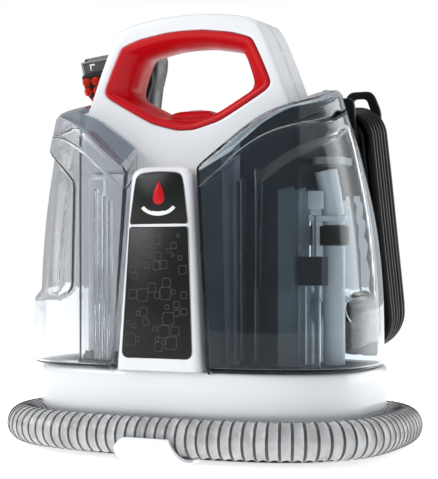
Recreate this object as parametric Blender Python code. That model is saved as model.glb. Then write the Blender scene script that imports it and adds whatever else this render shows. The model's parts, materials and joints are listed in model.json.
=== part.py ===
"""Portable spot extractor: two tanks beside a front column, a loop handle, a hose
wrapped round the base, a hand tool stored at the rear left and a mains cord
wound on two hooks at the rear right.

Lengths are millimetres here; new_object() turns them into metres. +X is the
machine's right seen from the front, -Y its front, +Z up. The origin is on the
flat underside, at the middle of the base.
"""
import math

import bmesh
import bpy
from mathutils import Matrix, Vector

for old in list(bpy.data.objects):
    bpy.data.objects.remove(old, do_unlink=True)

MM = 0.001
GAP = 0.3               # clearance between pieces that touch
WALL = 2.5              # moulded wall thickness

# Base
BASE_A = 130.0          # half width
BASE_B = 87.0           # half depth
BASE_POWER = 3.0        # squareness of the outline
DECK_Z = 61.5           # top of the base
PLATE_TOP = 3.0
GROOVE_TOP = 30.0
GROOVE_DEPTH = 4.0

# Tanks: half width, front and rear of the outline at a few heights
TANK_LEVELS = (62.0, 120.0, 170.0, 220.0, 265.0)
TANK_A = (133.5, 132.5, 128.0, 118.5, 107.0)
TANK_FRONT = (-90.0, -89.0, -87.5, -85.5, -83.0)
TANK_REAR = (66.0, 65.0, 57.0, 45.0, 33.0)
TANK_POWER = 3.0
TANK_BACK_Y = 25.0      # flat back of each tank
TANK_BOTTOM = DECK_Z + 0.8
TANK_PEAK = 266.5
LID_ROUND = 8.0         # rounding of the lid's outer edge
LID_BAND = 15.0         # height of the clear lid above its seam
INNER_X = 87.5          # tank side that faces the housing
INNER_Y = -47.8

# Column between the tanks
COLUMN_BOTTOM = DECK_Z + GAP
COLUMN_TOP = 206.0
COLUMN_HALF_BOTTOM = 33.5
COLUMN_HALF_TOP = 23.5
COLUMN_FRONT_BOTTOM = -91.0
COLUMN_FRONT_TOP = -86.5
COLUMN_BACK = -47.3
COLUMN_BACK_HALF = 38.0  # half width where it meets the housing

# Housing and handle
HOUSING_HALF = 85.0
HOUSING_FRONT = -46.7
HOUSING_TOP = 204.7
HOUSING_REAR_BOTTOM = 84.0
HOUSING_REAR_TOP = 54.0
HANDLE_FRONT = -47.0
HANDLE_SPLIT = -24.0
HANDLE_BACK = -2.0
HANDLE_CENTRE_Z = 268.0
HANDLE_OUTLINE = ((0, 205), (70, 205), (82, 206), (85, 212), (86, 232), (84.5, 250), (81, 258),
                  (72.5, 280), (63.5, 301), (57, 310.8), (49, 314.4), (41, 316.2), (29, 318.2), (15, 319.4),
                  (0, 319.8))
LINER_OUTLINE = ((0, 235), (8, 235.4), (28, 241), (49.5, 252.4), (64, 260.8), (67.5, 265),
                 (66.6, 270), (61, 283), (54.5, 296.2), (51, 299.5), (37, 303.8), (15, 307), (0, 307.5))
THROAT_OUTLINE = ((0, 246.8), (10, 247), (22, 249.5), (38, 257.6), (47.5, 263.5), (49.4, 267.5),
                  (48.6, 272), (44.4, 284), (41, 289.6), (34, 292), (15, 295.4), (0, 296))

# Hose
HOSE_RADIUS = 14.0
HOSE_Z = 17.0
HOSE_OFFSET = 11.5      # centre line outside the base outline

# Hand tool: its axis leans with the back of the machine
TOOL_TOP = Vector((-110.0, 55.0, 313.5))
TOOL_FOOT = Vector((-90.0, 108.0, 103.5))

# Cord storage
HANK_X = 82.0
HANK_LOW_HALF = 31.0    # half width round the lower hook
HANK_TOP_HALF = 23.0    # half width round the upper hook
HANK_BOTTOM = 64.0
HANK_TOP = 259.0
HANK_THICK = 39.0
HANK_RING = 13.5        # two layers of cord
HANK_TILT = math.radians(9.0)
HANK_PIVOT = Vector((HANK_X, 92.5, HANK_BOTTOM))   # lower inner edge
CORD_RADIUS = 3.25


# Places on the deck and in the tanks
FEET = ((-95, -52), (95, -52), (95, 52), (-95, 52))
SCREWS = ((-62, -66), (62, -66), (62, 66), (-62, 66))
CLEAN_VALVE = (-104.0, -22.0)
DIRTY_PORT = (104.0, -14.0)
RECEIVER_RADIUS = 14.0
PORT_RADIUS = 14.0
FLOAT_CENTRE = (102.0, -50.0)
FLOAT_HALF = 8.5
FLOAT_Z = (122.0, 142.0)
FLOAT_TRAVEL = 25.0
POST_THICK = 5.5        # guide post below the float, and through it
POST_THIN = 2.5
DRAIN = (111.0, 25.4, 104.0)
CLIP_X = (-22.0, 32.0)
HOSE_PORT = Vector((4.0, 62.0, 167.5))
PORT_BORE = 17.5
GLAND = (40.0, 79.0, 70.0)
MOTOR = (0.0, 6.0)


# ---------------------------------------------------------------- helpers
MATERIALS = {}


def material(name, colour, roughness, metallic=0.0, alpha=1.0):
    """A plain Principled material, made once for each name."""
    if name in MATERIALS:
        return MATERIALS[name]
    new = bpy.data.materials.new(name)
    new.use_nodes = True
    shader = new.node_tree.nodes["Principled BSDF"]
    shader.inputs["Base Color"].default_value = (*colour, 1.0)
    shader.inputs["Roughness"].default_value = roughness
    shader.inputs["Metallic"].default_value = metallic
    shader.inputs["Alpha"].default_value = alpha
    MATERIALS[name] = new
    return new


def white():
    return material("white_gloss", (0.86, 0.88, 0.90), 0.25)


def red():
    return material("red_gloss", (0.70, 0.03, 0.03), 0.25)


def black():
    return material("black_plastic", (0.02, 0.02, 0.022), 0.45)


def panel_black():
    return material("panel_black", (0.02, 0.022, 0.022), 0.12)


def clear_blue():
    return material("clear_blue", (0.55, 0.62, 0.70), 0.10, alpha=0.4)


def smoke():
    return material("smoke_clear", (0.16, 0.20, 0.24), 0.10, alpha=0.5)


def grey():
    return material("grey_plastic", (0.35, 0.37, 0.39), 0.4)


def rubber():
    return material("rubber", (0.04, 0.04, 0.04), 0.85)


def steel():
    return material("steel", (0.62, 0.62, 0.63), 0.3, metallic=1.0)


def brass():
    return material("brass", (0.75, 0.58, 0.28), 0.3, metallic=1.0)


def hose_grey():
    return material("hose_grey", (0.45, 0.45, 0.46), 0.3, alpha=0.6)


def float_white():
    return material("float_white", (0.8, 0.8, 0.8), 0.5)


def fan_aluminium():
    return material("fan_aluminium", (0.7, 0.7, 0.72), 0.35, metallic=1.0)


def new_object(name, verts, faces, finish, origin=(0, 0, 0), turn=None):
    """Mesh object from millimetre points; its origin is at `origin`."""
    base = Vector(origin)
    bm = bmesh.new()
    made = []
    for point in verts:
        place = Vector(point)
        if turn is not None:
            place = turn @ place
        made.append(bm.verts.new((place - base) * MM))
    for face in faces:
        bm.faces.new([made[i] for i in face])
    bmesh.ops.recalc_face_normals(bm, faces=bm.faces)
    mesh = bpy.data.meshes.new(name)
    bm.to_mesh(mesh)
    bm.free()
    mesh.materials.append(finish)
    obj = bpy.data.objects.new(name, mesh)
    obj.location = base * MM
    bpy.context.collection.objects.link(obj)
    return obj


def loft(name, loops, finish, ring=False, origin=(0, 0, 0), turn=None):
    """Skin equal-length loops; ends are capped, or joined to each other for a ring."""
    count = len(loops[0])
    verts = [point for loop in loops for point in loop]
    faces = []
    rows = len(loops) if ring else len(loops) - 1
    for row in range(rows):
        here = row * count
        there = ((row + 1) % len(loops)) * count
        for i in range(count):
            j = (i + 1) % count
            faces.append((here + i, here + j, there + j, there + i))
    if not ring:
        faces.append(tuple(range(count)))
        faces.append(tuple(reversed(range((len(loops) - 1) * count, len(loops) * count))))
    return new_object(name, verts, faces, finish, origin, turn)


def circle(radius, count, z, centre=(0.0, 0.0)):
    """Horizontal circle of points."""
    return [(centre[0] + radius * math.cos(math.tau * i / count),
             centre[1] + radius * math.sin(math.tau * i / count), z) for i in range(count)]


def turned(name, profile, finish, centre=(0, 0, 0), axis=(0, 0, 1), count=20, ring=False, origin=None):
    """Turn (radius, height) pairs about an axis through `centre`."""
    spin = Vector((0, 0, 1)).rotation_difference(Vector(axis).normalized()).to_matrix().to_4x4()
    turn = Matrix.Translation(Vector(centre)) @ spin
    loops = [circle(radius, count, height) for radius, height in profile]
    place = centre if origin is None else origin
    return loft(name, loops, finish, ring=ring, origin=place, turn=turn)


def block(name, low, high, finish, origin=(0, 0, 0), turn=None, chamfer=0.0):
    """Box between two corners, with its four upright edges chamfered if asked."""
    c = chamfer
    if c:
        plan = [(low[0] + c, low[1]), (high[0] - c, low[1]), (high[0], low[1] + c), (high[0], high[1] - c),
                (high[0] - c, high[1]), (low[0] + c, high[1]), (low[0], high[1] - c), (low[0], low[1] + c)]
    else:
        plan = [(low[0], low[1]), (high[0], low[1]), (high[0], high[1]), (low[0], high[1])]
    loops = [[(x, y, z) for x, y in plan] for z in (low[2], high[2])]
    return loft(name, loops, finish, origin=origin, turn=turn)


def cutter(obj):
    """Mark an object as a cutting tool only."""
    obj.hide_render = True
    obj.display_type = 'WIRE'
    return obj


def cut(target, tool, operation='DIFFERENCE'):
    """Boolean `tool` out of `target`."""
    cutter(tool)
    step = target.modifiers.new(operation.lower(), 'BOOLEAN')
    step.operation = operation
    step.solver = 'EXACT'
    step.object = tool
    return target


def tube(name, points, radius, finish, sides=3):
    """Round tube through millimetre points, as a curve with a bevel."""
    curve = bpy.data.curves.new(name, 'CURVE')
    curve.dimensions = '3D'
    curve.bevel_depth = radius * MM
    curve.bevel_resolution = sides
    curve.use_fill_caps = True
    spline = curve.splines.new('POLY')
    spline.points.add(len(points) - 1)
    for spot, point in zip(spline.points, points):
        spot.co = (*(Vector(point) * MM), 1.0)
    curve.materials.append(finish)
    obj = bpy.data.objects.new(name, curve)
    bpy.context.collection.objects.link(obj)
    return obj


def smooth_path(route, step):
    """Points `step` apart on a smooth curve through a hand-chosen route."""
    knots = [Vector(p) for p in route]
    ends = [knots[0] * 2 - knots[1]] + knots + [knots[-1] * 2 - knots[-2]]
    dense = []
    for i in range(1, len(ends) - 2):
        p0, p1, p2, p3 = ends[i - 1:i + 3]
        for k in range(24):
            t = k / 24
            dense.append(0.5 * (2 * p1 + (p2 - p0) * t + (2 * p0 - 5 * p1 + 4 * p2 - p3) * t * t
                                + (3 * p1 - p0 - 3 * p2 + p3) * t ** 3))
    dense.append(knots[-1])
    lengths = [0.0]
    for a, b in zip(dense, dense[1:]):
        lengths.append(lengths[-1] + (b - a).length)
    count = max(2, round(lengths[-1] / step))
    result = []
    k = 0
    for i in range(count + 1):
        want = lengths[-1] * i / count
        while k < len(lengths) - 2 and lengths[k + 1] < want:
            k += 1
        span = lengths[k + 1] - lengths[k]
        t = (want - lengths[k]) / span if span else 0.0
        result.append(dense[k].lerp(dense[k + 1], t))
    return result


def between(levels, values, z):
    """Straight-line interpolation in a small table of heights."""
    if z <= levels[0]:
        return values[0]
    for z0, z1, v0, v1 in zip(levels, levels[1:], values, values[1:]):
        if z <= z1:
            return v0 + (v1 - v0) * (z - z0) / (z1 - z0)
    return values[-1]


def superellipse(a, b, power, angle):
    """Point of |x/a|^n + |y/b|^n = 1 at a parameter angle."""
    c = math.cos(angle)
    s = math.sin(angle)
    return (math.copysign(a * abs(c) ** (2 / power), c), math.copysign(b * abs(s) ** (2 / power), s))


def oval(a, b, z, count=44, power=BASE_POWER):
    """Horizontal superellipse loop."""
    return [(*superellipse(a, b, power, math.tau * i / count), z) for i in range(count)]


# ---------------------------------------------------------------- base
def base_housing():
    """Shell of the base: groove for the hose low down, flat deck on top, open below."""
    outside = [(PLATE_TOP + GAP, GROOVE_DEPTH), (GROOVE_TOP - 4, GROOVE_DEPTH), (GROOVE_TOP, 1.2),
               (GROOVE_TOP + 3, 0.0), (DECK_Z - 3, 0.0), (DECK_Z - 0.8, 0.8), (DECK_Z, 2.4)]
    inside = [(DECK_Z - WALL, 4.5), (GROOVE_TOP + 2, GROOVE_DEPTH + WALL), (-1.0, GROOVE_DEPTH + WALL)]
    loops = [oval(BASE_A - inset, BASE_B - inset, z) for z, inset in outside]
    shell = loft("base_housing", loops, white())
    hollow = loft("base_hollow", [oval(BASE_A - inset, BASE_B - inset, z) for z, inset in
                                  inside], white())
    cut(shell, hollow)
    cut(shell, turned("receiver_hole", ((RECEIVER_RADIUS + GAP, 50), (RECEIVER_RADIUS + GAP, 70)),
                      white(), centre=(*CLEAN_VALVE, 0), count=20))
    cut(shell, turned("port_hole", ((PORT_RADIUS + GAP, 50), (PORT_RADIUS + GAP, 70)),
                      white(), centre=(*DIRTY_PORT, 0), count=20))
    return shell


def base_plate():
    """Flat underside with four shallow pockets for the feet."""
    inset = GROOVE_DEPTH + 1.0
    edge = [(inset + 1, 0.0), (inset, 1.0), (inset, PLATE_TOP)]
    plate = loft("base_plate", [oval(BASE_A - step, BASE_B - step, z) for step, z in edge], black())
    for number, (x, y) in enumerate(FEET):
        pocket = turned(f"foot_pocket_{number}", ((9.3, -1), (9.3, 1.8)), black(), centre=(x, y, 0), count=16)
        cut(plate, pocket)
    for number, (x, y) in enumerate(SCREWS):
        cut(plate, turned(f"screw_hole_{number}", ((3.6, -1), (3.6, 4)), black(), centre=(x, y, 0), count=10))
    return plate


def feet_and_screws():
    """Rubber feet in the pockets, and the screws that hold the underside on."""
    for number, (x, y) in enumerate(FEET, 1):
        turned(f"rubber_foot_{number}", ((8.4, 0), (9.0, 0.6), (9.0, 1.5)), rubber(),
               centre=(x, y, 0), count=14)
    for number, (x, y) in enumerate(SCREWS, 1):
        turned(f"base_screw_{number}", ((3.2, 0.8), (3.2, 2.6), (1.6, 2.6), (1.6, 16)), steel(),
               centre=(x, y, 0), count=8)


def hose_clip():
    """Tab under and in front of the hose at the front of the base."""
    lip = BASE_B + HOSE_OFFSET + HOSE_RADIUS
    back = BASE_B - GROOVE_DEPTH - 0.6
    section = [(back, 0.6), (lip + 3.6, 0.6), (lip + 4.2, 3), (lip + 3.6, HOSE_Z + 0.5),
               (lip + 1.2, HOSE_Z + 0.5), (lip + 1.4, 5), (lip - 4, 2.6), (back, 2.6)]
    low, high = CLIP_X
    loops = [[(x, -out, z) for out, z in section] for x in (low, high)]
    clip = loft("hose_clip", loops, white())
    slant = [(high - 14, 30), (high + 4, 30), (high + 4, -2), (high + 1, -2)]
    loft("clip_slant", [[(x, y, z) for x, z in slant] for y in (-160, -100)], white())
    cut(clip, bpy.data.objects["clip_slant"])
    return clip


# ---------------------------------------------------------------- column
def column_half(z):
    return between((COLUMN_BOTTOM, COLUMN_TOP), (COLUMN_HALF_BOTTOM, COLUMN_HALF_TOP), z)


def column_front(z):
    return between((COLUMN_BOTTOM, COLUMN_TOP), (COLUMN_FRONT_BOTTOM, COLUMN_FRONT_TOP), z)


def column_loop(z, grow=0.0):
    """Plan of the column at one height, rounded at its front corners."""
    half = column_half(z) + grow
    front = column_front(z)
    right = [(half - 6, front), (half - 2, front + 1.2), (half, front + 5),
             (COLUMN_BACK_HALF + grow, COLUMN_BACK)]
    left = [(-x, y) for x, y in reversed(right)]
    return [(x, y, z) for x, y in right + left]


def column():
    """White front column, hollow behind, with sunk faces for its two panels."""
    heights = (COLUMN_BOTTOM, 100, 150, COLUMN_TOP - 6, COLUMN_TOP)
    loops = [column_loop(z) for z in heights]
    loops[-1] = [(x * 0.93, y + 3 if y < -60 else y, z) for x, y, z in loops[-1]]
    body = loft("front_column", loops, white())
    core = []
    for z in (50, COLUMN_TOP - 8):
        core.append([(x * 0.84, y + 4.5 if y < -60 else -40.0, z) for x, y, z in column_loop(z)])
    cut(body, loft("column_core", core, white()))
    for name, outline in (("badge_pocket", badge_outline(0.3)), ("panel_pocket", panel_outline(0.3))):
        cut(body, panel_solid(name, outline, -3.0, 2.0, white()))
    return body


def badge_outline(grow=0.0):
    """Upper panel: arched top, narrower than it is at its foot."""
    top = 202.0 + grow
    foot = 165.2 - grow
    half_top = 18.8 + grow
    half_foot = 23.0 + grow
    right = [(half_foot - 1.5, foot), (half_foot, foot + 1.5), (half_top + 0.6, top - 10),
             (half_top - 1.0, top - 5), (half_top - 5.0, top - 1.8), (half_top - 10.0, top - 0.4)]
    return right + [(-x, z) for x, z in reversed(right)]


def panel_outline(grow=0.0):
    """Lower panel: it widens downwards, with round lower corners."""
    top = 163.2 + grow
    foot = 70.5 - grow
    half_top = 23.1 + grow
    half_foot = 28.0 + grow
    right = [(half_foot - 5, foot), (half_foot - 1.4, foot + 1.4), (half_foot, foot + 5),
             (half_top, top - 1.5), (half_top - 1.5, top)]
    return right + [(-x, z) for x, z in reversed(right)]


def panel_solid(name, outline, outer, inner, finish):
    """Solid that follows the leaning front of the column, between two depths."""
    loops = [[(x, column_front(z) + depth, z) for x, z in outline] for depth in (outer, inner)]
    return loft(name, loops, finish)


def panels():
    panel_solid("badge_panel", badge_outline(), -0.2, 1.7, panel_black())
    panel_solid("pattern_panel", panel_outline(), -0.2, 1.7, panel_black())


# ---------------------------------------------------------------- housing
def housing_loop(z, inset):
    """Plan of the central housing: flat front, rounded back that leans forward with height."""
    half = HOUSING_HALF - inset
    rear = between((DECK_Z, HOUSING_TOP), (HOUSING_REAR_BOTTOM, HOUSING_REAR_TOP), z) - inset
    front = HOUSING_FRONT + inset
    middle = 16.0
    right = [(half - 8, front), (half - 2.3, front + 2.3), (half, front + 8), (half, middle - 12)]
    for i in range(10):
        x, y = superellipse(half, rear - middle, 2.6, math.pi / 2 * i / 9.5)
        right.append((x, middle + y))
    left = [(-x, y) for x, y in reversed(right)]
    return [(x, y, z) for x, y in right + left]


def main_housing():
    heights = (DECK_Z + GAP, 110, 160, HOUSING_TOP)
    loops = [housing_loop(z, 0.0) for z in heights] + [housing_loop(z, WALL) for z in reversed(heights)]
    body = loft("main_housing", loops, white(), ring=True)
    cut(body, turned("port_bore", ((PORT_BORE, -20), (PORT_BORE, 20)), white(),
                     centre=HOSE_PORT, axis=(0, 1, 0), count=20))
    cut(body, turned("gland_bore", ((5.4, -16), (5.4, 16)), white(), centre=GLAND, axis=(0, 1, 0), count=14))
    return body


def cover_loop(z, inset, shrink=0.0):
    """Plan of the cover behind the handle."""
    half = 83.0 - inset - shrink
    rear = between((204, 250), (52.0, 42.0), z) - inset - shrink
    front = HANDLE_BACK + 0.6 + inset
    right = [(half, front)]
    for i in range(10):
        x, y = superellipse(half, rear - 6, 2.6, math.pi / 2 * i / 9.5)
        right.append((x, 6 + y))
    left = [(-x, y) for x, y in reversed(right)]
    return [(x, y, z) for x, y in right + left]


def top_cover():
    """Rounded cover behind the handle, over the motor."""
    outer = [cover_loop(205.2, 0), cover_loop(236, 0), cover_loop(243, 0, 2.5), cover_loop(246.5, 0, 8),
             cover_loop(247.5, 0, 16)]
    cover = loft("top_cover", outer, white())
    hollow = [cover_loop(200, WALL), cover_loop(235, WALL), cover_loop(242, WALL, 6)]
    cut(cover, loft("cover_hollow", hollow, white()))
    return cover


# ---------------------------------------------------------------- handle
def polar(outline, offset=0.0, count=52):
    """Mirror a half outline, sample it along rays from the handle's centre, and grow it."""
    right = list(outline)
    full = right + [(-x, z) for x, z in reversed(right) if x > 0]
    points = []
    for i in range(count):
        angle = math.tau * (i + 0.5) / count
        dx = math.cos(angle)
        dz = math.sin(angle)
        best = 0.0
        for (x0, z0), (x1, z1) in zip(full, full[1:] + full[:1]):
            ex, ez = x1 - x0, z1 - z0
            det = dx * -ez + ex * dz
            if abs(det) < 1e-9:
                continue
            rx, rz = x0, z0 - HANDLE_CENTRE_Z
            reach = (rx * -ez + ex * rz) / det
            along = (dx * rz - dz * rx) / det
            if -1e-9 <= along <= 1 + 1e-9 and reach > best:
                best = reach
        points.append((dx * best, HANDLE_CENTRE_Z + dz * best))
    grown = []
    for i, (x, z) in enumerate(points):
        (xa, za), (xb, zb) = points[i - 1], points[(i + 1) % count]
        nx, nz = zb - za, xa - xb
        size = math.hypot(nx, nz)
        grown.append((x + nx / size * offset, z + nz / size * offset))
    return grown


def handle_ring(name, rings, finish):
    """Closed ring whose section visits (outline, offset, y) in turn."""
    loops = [[(x, y, z) for x, z in polar(outline, offset)] for outline, offset, y in rings]
    return loft(name, loops, finish, ring=True)


def handle_shells():
    """Front and rear half shells of the handle and shoulders, open to each other inside."""
    seam_front = HANDLE_SPLIT - GAP / 2
    seam_back = HANDLE_SPLIT + GAP / 2
    front = [(LINER_OUTLINE, 0.0, HANDLE_FRONT + 0.6), (LINER_OUTLINE, 0.0, seam_front),
             (LINER_OUTLINE, WALL, seam_front), (LINER_OUTLINE, WALL, HANDLE_FRONT + 3),
             (HANDLE_OUTLINE, -4.5, HANDLE_FRONT + 3.4), (HANDLE_OUTLINE, -WALL, HANDLE_FRONT + 8),
             (HANDLE_OUTLINE, -WALL, seam_front), (HANDLE_OUTLINE, 0.0, seam_front),
             (HANDLE_OUTLINE, -0.6, HANDLE_FRONT + 9), (HANDLE_OUTLINE, -2.2, HANDLE_FRONT + 3.5),
             (HANDLE_OUTLINE, -5.5, HANDLE_FRONT + 0.7), (LINER_OUTLINE, 2.0, HANDLE_FRONT)]
    shell = handle_ring("handle_front_shell", front, white())
    cut(shell, block("stem_slot", (-5.6, -37.6, 225), (5.6, -26.4, 240), white()))
    back = [(LINER_OUTLINE, 0.0, seam_back), (LINER_OUTLINE, 0.0, HANDLE_BACK),
            (HANDLE_OUTLINE, -6.0, HANDLE_BACK), (HANDLE_OUTLINE, -2.4, HANDLE_BACK - 2.6),
            (HANDLE_OUTLINE, -0.6, HANDLE_BACK - 7), (HANDLE_OUTLINE, 0.0, seam_back),
            (HANDLE_OUTLINE, -WALL, seam_back), (HANDLE_OUTLINE, -WALL - 0.6, HANDLE_BACK - 7),
            (LINER_OUTLINE, WALL, HANDLE_BACK - 3), (LINER_OUTLINE, WALL, seam_back)]
    handle_ring("handle_rear_shell", back, white())


def handle_liner():
    """Red ring that lines the hand opening, waisted at its middle."""
    rings = [(LINER_OUTLINE, -0.4, HANDLE_BACK + 0.4), (LINER_OUTLINE, -0.4, HANDLE_FRONT - 0.25),
             (LINER_OUTLINE, -2.4, HANDLE_FRONT - 0.5), (THROAT_OUTLINE, 2.4, -38),
             (THROAT_OUTLINE, 0.0, -28), (THROAT_OUTLINE, 0.6, -20), (THROAT_OUTLINE, 4.0, -8),
             (LINER_OUTLINE, -3.0, HANDLE_BACK + 0.2)]
    liner = handle_ring("handle_liner", rings, red())
    cut(liner, block("button_pocket", (-16.5, -38.0, 238.2), (16.5, -20.0, 262), red()))
    cut(liner, block("liner_slot", (-5.6, -37.6, 225), (5.6, -26.4, 242), red()))


def power_button():
    """Rocker-wide push button on the floor of the hand opening, over its switch."""
    plan = [(-15.8, 242.2), (15.8, 242.2), (15.8, 249), (13, 250.6), (-13, 250.6), (-15.8, 249)]
    loops = [[(x, y, z) for x, z in plan] for y in (-37.6, -20.4)]
    button = loft("power_button", loops, red(), origin=(0, -29, 250))
    cut(button, block("button_stem", (-4.8, -36.6, 233.4), (4.8, -27.4, 244), red()), 'UNION')
    block("power_switch", (-9, -42, 212), (9, -20, 229.8), black())


# ---------------------------------------------------------------- tanks
def shoulder(x, y):
    """Height of a tank's sloping shoulder: it climbs outwards and backwards to a flat peak."""
    wide = abs(x)
    slope = 208.5 + 0.745 * (wide - 32.0) + 0.26 * (y + 84.0) - 0.0096 * max(0.0, wide - 60.0) ** 2
    softness = 3.0
    return TANK_PEAK - softness * math.log1p(math.exp((TANK_PEAK - slope) / softness))


def lid_height(x, y):
    """Top of the lid: the shoulder, rounded off towards the outer edge."""
    middle = (TANK_FRONT[-1] + TANK_REAR[-1]) / 2
    half = (TANK_REAR[-1] - TANK_FRONT[-1]) / 2
    reach = ((abs(x) / TANK_A[-1]) ** TANK_POWER + (abs(y - middle) / half) ** TANK_POWER) ** (1 / TANK_POWER)
    depth = min(LID_ROUND, max(0.0, LID_ROUND - TANK_A[-1] * (1.0 - reach)))
    drop = LID_ROUND - math.sqrt(LID_ROUND ** 2 - depth ** 2)
    outward = min(1.0, max(0.0, (abs(x) - 78.0) / 20.0))
    return shoulder(x, y) - drop * outward


def seam_height(x, y):
    return shoulder(x, y) - LID_BAND


def recess(x, y, z):
    """Depth of the finger grip at the outer front corner of a tank."""
    top = lid_height(x, y) - 31.0
    up = min(1.0, max(0.0, (z - 112.0) / 7.0)) * min(1.0, max(0.0, (top - z) / 7.0))
    across = min(1.0, max(0.0, (abs(x) - 74.0) / 8.0)) * min(1.0, max(0.0, (-8.0 - y) / 14.0))
    return 4.5 * up * across


def tank_outer(share, z, inset):
    """Point on a tank's outer wall: share runs 0..1 from the column round to the back."""
    a = between(TANK_LEVELS, TANK_A, z) - inset
    front = between(TANK_LEVELS, TANK_FRONT, z)
    rear = between(TANK_LEVELS, TANK_REAR, z)
    middle = (front + rear) / 2
    b = (rear - front) / 2 - inset
    first_x = column_half(z) + 3.2 + inset
    start = -math.acos((first_x / a) ** (TANK_POWER / 2))
    reach = min(0.97, (TANK_BACK_Y - inset - middle) / b)
    end = math.asin(reach ** (TANK_POWER / 2))
    x, y = superellipse(a, b, TANK_POWER, start + (end - start) * share)
    y += middle
    if share == 0.0:
        y += 1.6
    if inset < 10:
        deep = recess(x, y, z)
        size = math.hypot(x / a, (y - middle) / b)
        x -= deep * x / a / size
        y -= deep * (y - middle) / b / size
    return x, y


def tank_inner(share, z, inset):
    """Point on the wall that faces the column and the housing."""
    path = [(COLUMN_BACK_HALF + 0.9 + inset, INNER_Y - inset), (INNER_X - 5 + inset, INNER_Y - inset),
            (INNER_X + inset, INNER_Y + 5 - inset), (INNER_X + inset, TANK_BACK_Y - inset)]
    stops = (0.0, 6 / 14, 7 / 14, 1.0)
    for s0, s1, p0, p1 in zip(stops, stops[1:], path, path[1:]):
        if share <= s1:
            t = (share - s0) / (s1 - s0)
            return p0[0] + (p1[0] - p0[0]) * t, p0[1] + (p1[1] - p0[1]) * t
    return path[-1]


def flat(z):
    return lambda x, y: z


def tank_skin(side, closed, opened, inset, levels, across, stations):
    """Grids of one skin of a tank or lid: both walls from the closed side to the open
    side, and the closed side's points between them."""
    def wall(point_at, share, u):
        z = 160.0
        for _ in range(6):
            x, y = point_at(share, z, inset)
            z = closed(x, y) + (opened(x, y) - closed(x, y)) * u
        return x, y, z
    outer = []
    inner = []
    floor = []
    for i in range(stations + 1):
        share = i / stations
        outer.append([wall(tank_outer, share, j / levels) for j in range(levels + 1)])
        inner.append([wall(tank_inner, share, j / levels) for j in range(levels + 1)])
        row = []
        for k in range(1, across):
            x = outer[-1][0][0] + (inner[-1][0][0] - outer[-1][0][0]) * k / across
            y = outer[-1][0][1] + (inner[-1][0][1] - outer[-1][0][1]) * k / across
            row.append((x, y, closed(x, y)))
        floor.append(row)

    def mirror(rows):
        return [[(side * x, y, z) for x, y, z in row] for row in rows]
    return mirror(outer), mirror(inner), mirror(floor)


def tank_piece(name, side, closed, opened, finish, levels=8, across=1, stations=14):
    """Thin-walled L-shaped vessel, closed on one side and open on the other."""
    inward = WALL if opened(100, 0) > closed(100, 0) else -WALL

    def closed_inside(x, y):
        return closed(x, y) + inward
    verts = []
    faces = []
    rims = []

    def add(rows):
        numbered = []
        for row in rows:
            numbered.append(list(range(len(verts), len(verts) + len(row))))
            verts.extend(row)
        return numbered
    for surface, inset in ((closed, 0.0), (closed_inside, WALL)):
        grids = tank_skin(side, surface, opened, inset, levels, across, stations)
        outer, inner, floor = (add(rows) for rows in grids)
        for i in range(stations):
            for grid in (outer, inner):
                for j in range(levels):
                    faces.append((grid[i][j], grid[i + 1][j], grid[i + 1][j + 1], grid[i][j + 1]))
            near = [outer[i][0]] + floor[i] + [inner[i][0]]
            far = [outer[i + 1][0]] + floor[i + 1] + [inner[i + 1][0]]
            for k in range(across):
                faces.append((near[k], near[k + 1], far[k + 1], far[k]))
        for i in (0, stations):
            faces.append((outer[i][0], *floor[i], inner[i][0], inner[i][1], outer[i][1]))
            for j in range(1, levels):
                faces.append((outer[i][j], inner[i][j], inner[i][j + 1], outer[i][j + 1]))
        rims.append([row[-1] for row in outer] + [row[-1] for row in reversed(inner)])
    for i in range(len(rims[0])):
        j = (i + 1) % len(rims[0])
        faces.append((rims[0][i], rims[0][j], rims[1][j]))
        faces.append((rims[0][i], rims[1][j], rims[1][i]))
    return new_object(name, verts, faces, finish)


def tank_shell(name, side, finish):
    """Open-topped tank up to the lid's seam."""
    return tank_piece(name, side, flat(TANK_BOTTOM), seam_height, finish)


def tank_lid(name, side, finish):
    """Clear lid above the seam, hollow from below."""
    def foot(x, y):
        return seam_height(x, y) + GAP
    return tank_piece(name, side, lid_height, foot, finish, levels=3, across=4)


def clean_tank():
    tank = tank_shell("clean_tank", -1, clear_blue())
    x, y = CLEAN_VALVE
    outlet = turned("clean_outlet", ((7.0, -4), (7.0, 6)), clear_blue(), centre=(x, y, TANK_BOTTOM), count=16)
    cut(tank, outlet)
    tank_lid("clean_tank_lid", -1, clear_blue())
    z = TANK_BOTTOM - GAP
    turned("valve_cap", ((10.5, z - 5), (10.5, z), (3.2, z), (3.2, z - 5)), grey(), centre=(x, y, 0),
           count=18, ring=True)
    turned("valve_poppet", ((2.6, z - 4), (2.6, z + GAP), (6.0, z + GAP), (6.0, z + 2.6)), rubber(),
           centre=(x, y, 0), count=12)
    cup = ((RECEIVER_RADIUS, 50), (RECEIVER_RADIUS, DECK_Z), (11.2, DECK_Z), (11.2, 53), (2.0, 53), (2.0, 50))
    turned("clean_tank_receiver", cup, black(), centre=(x, y, 0), count=18, ring=True)


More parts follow.
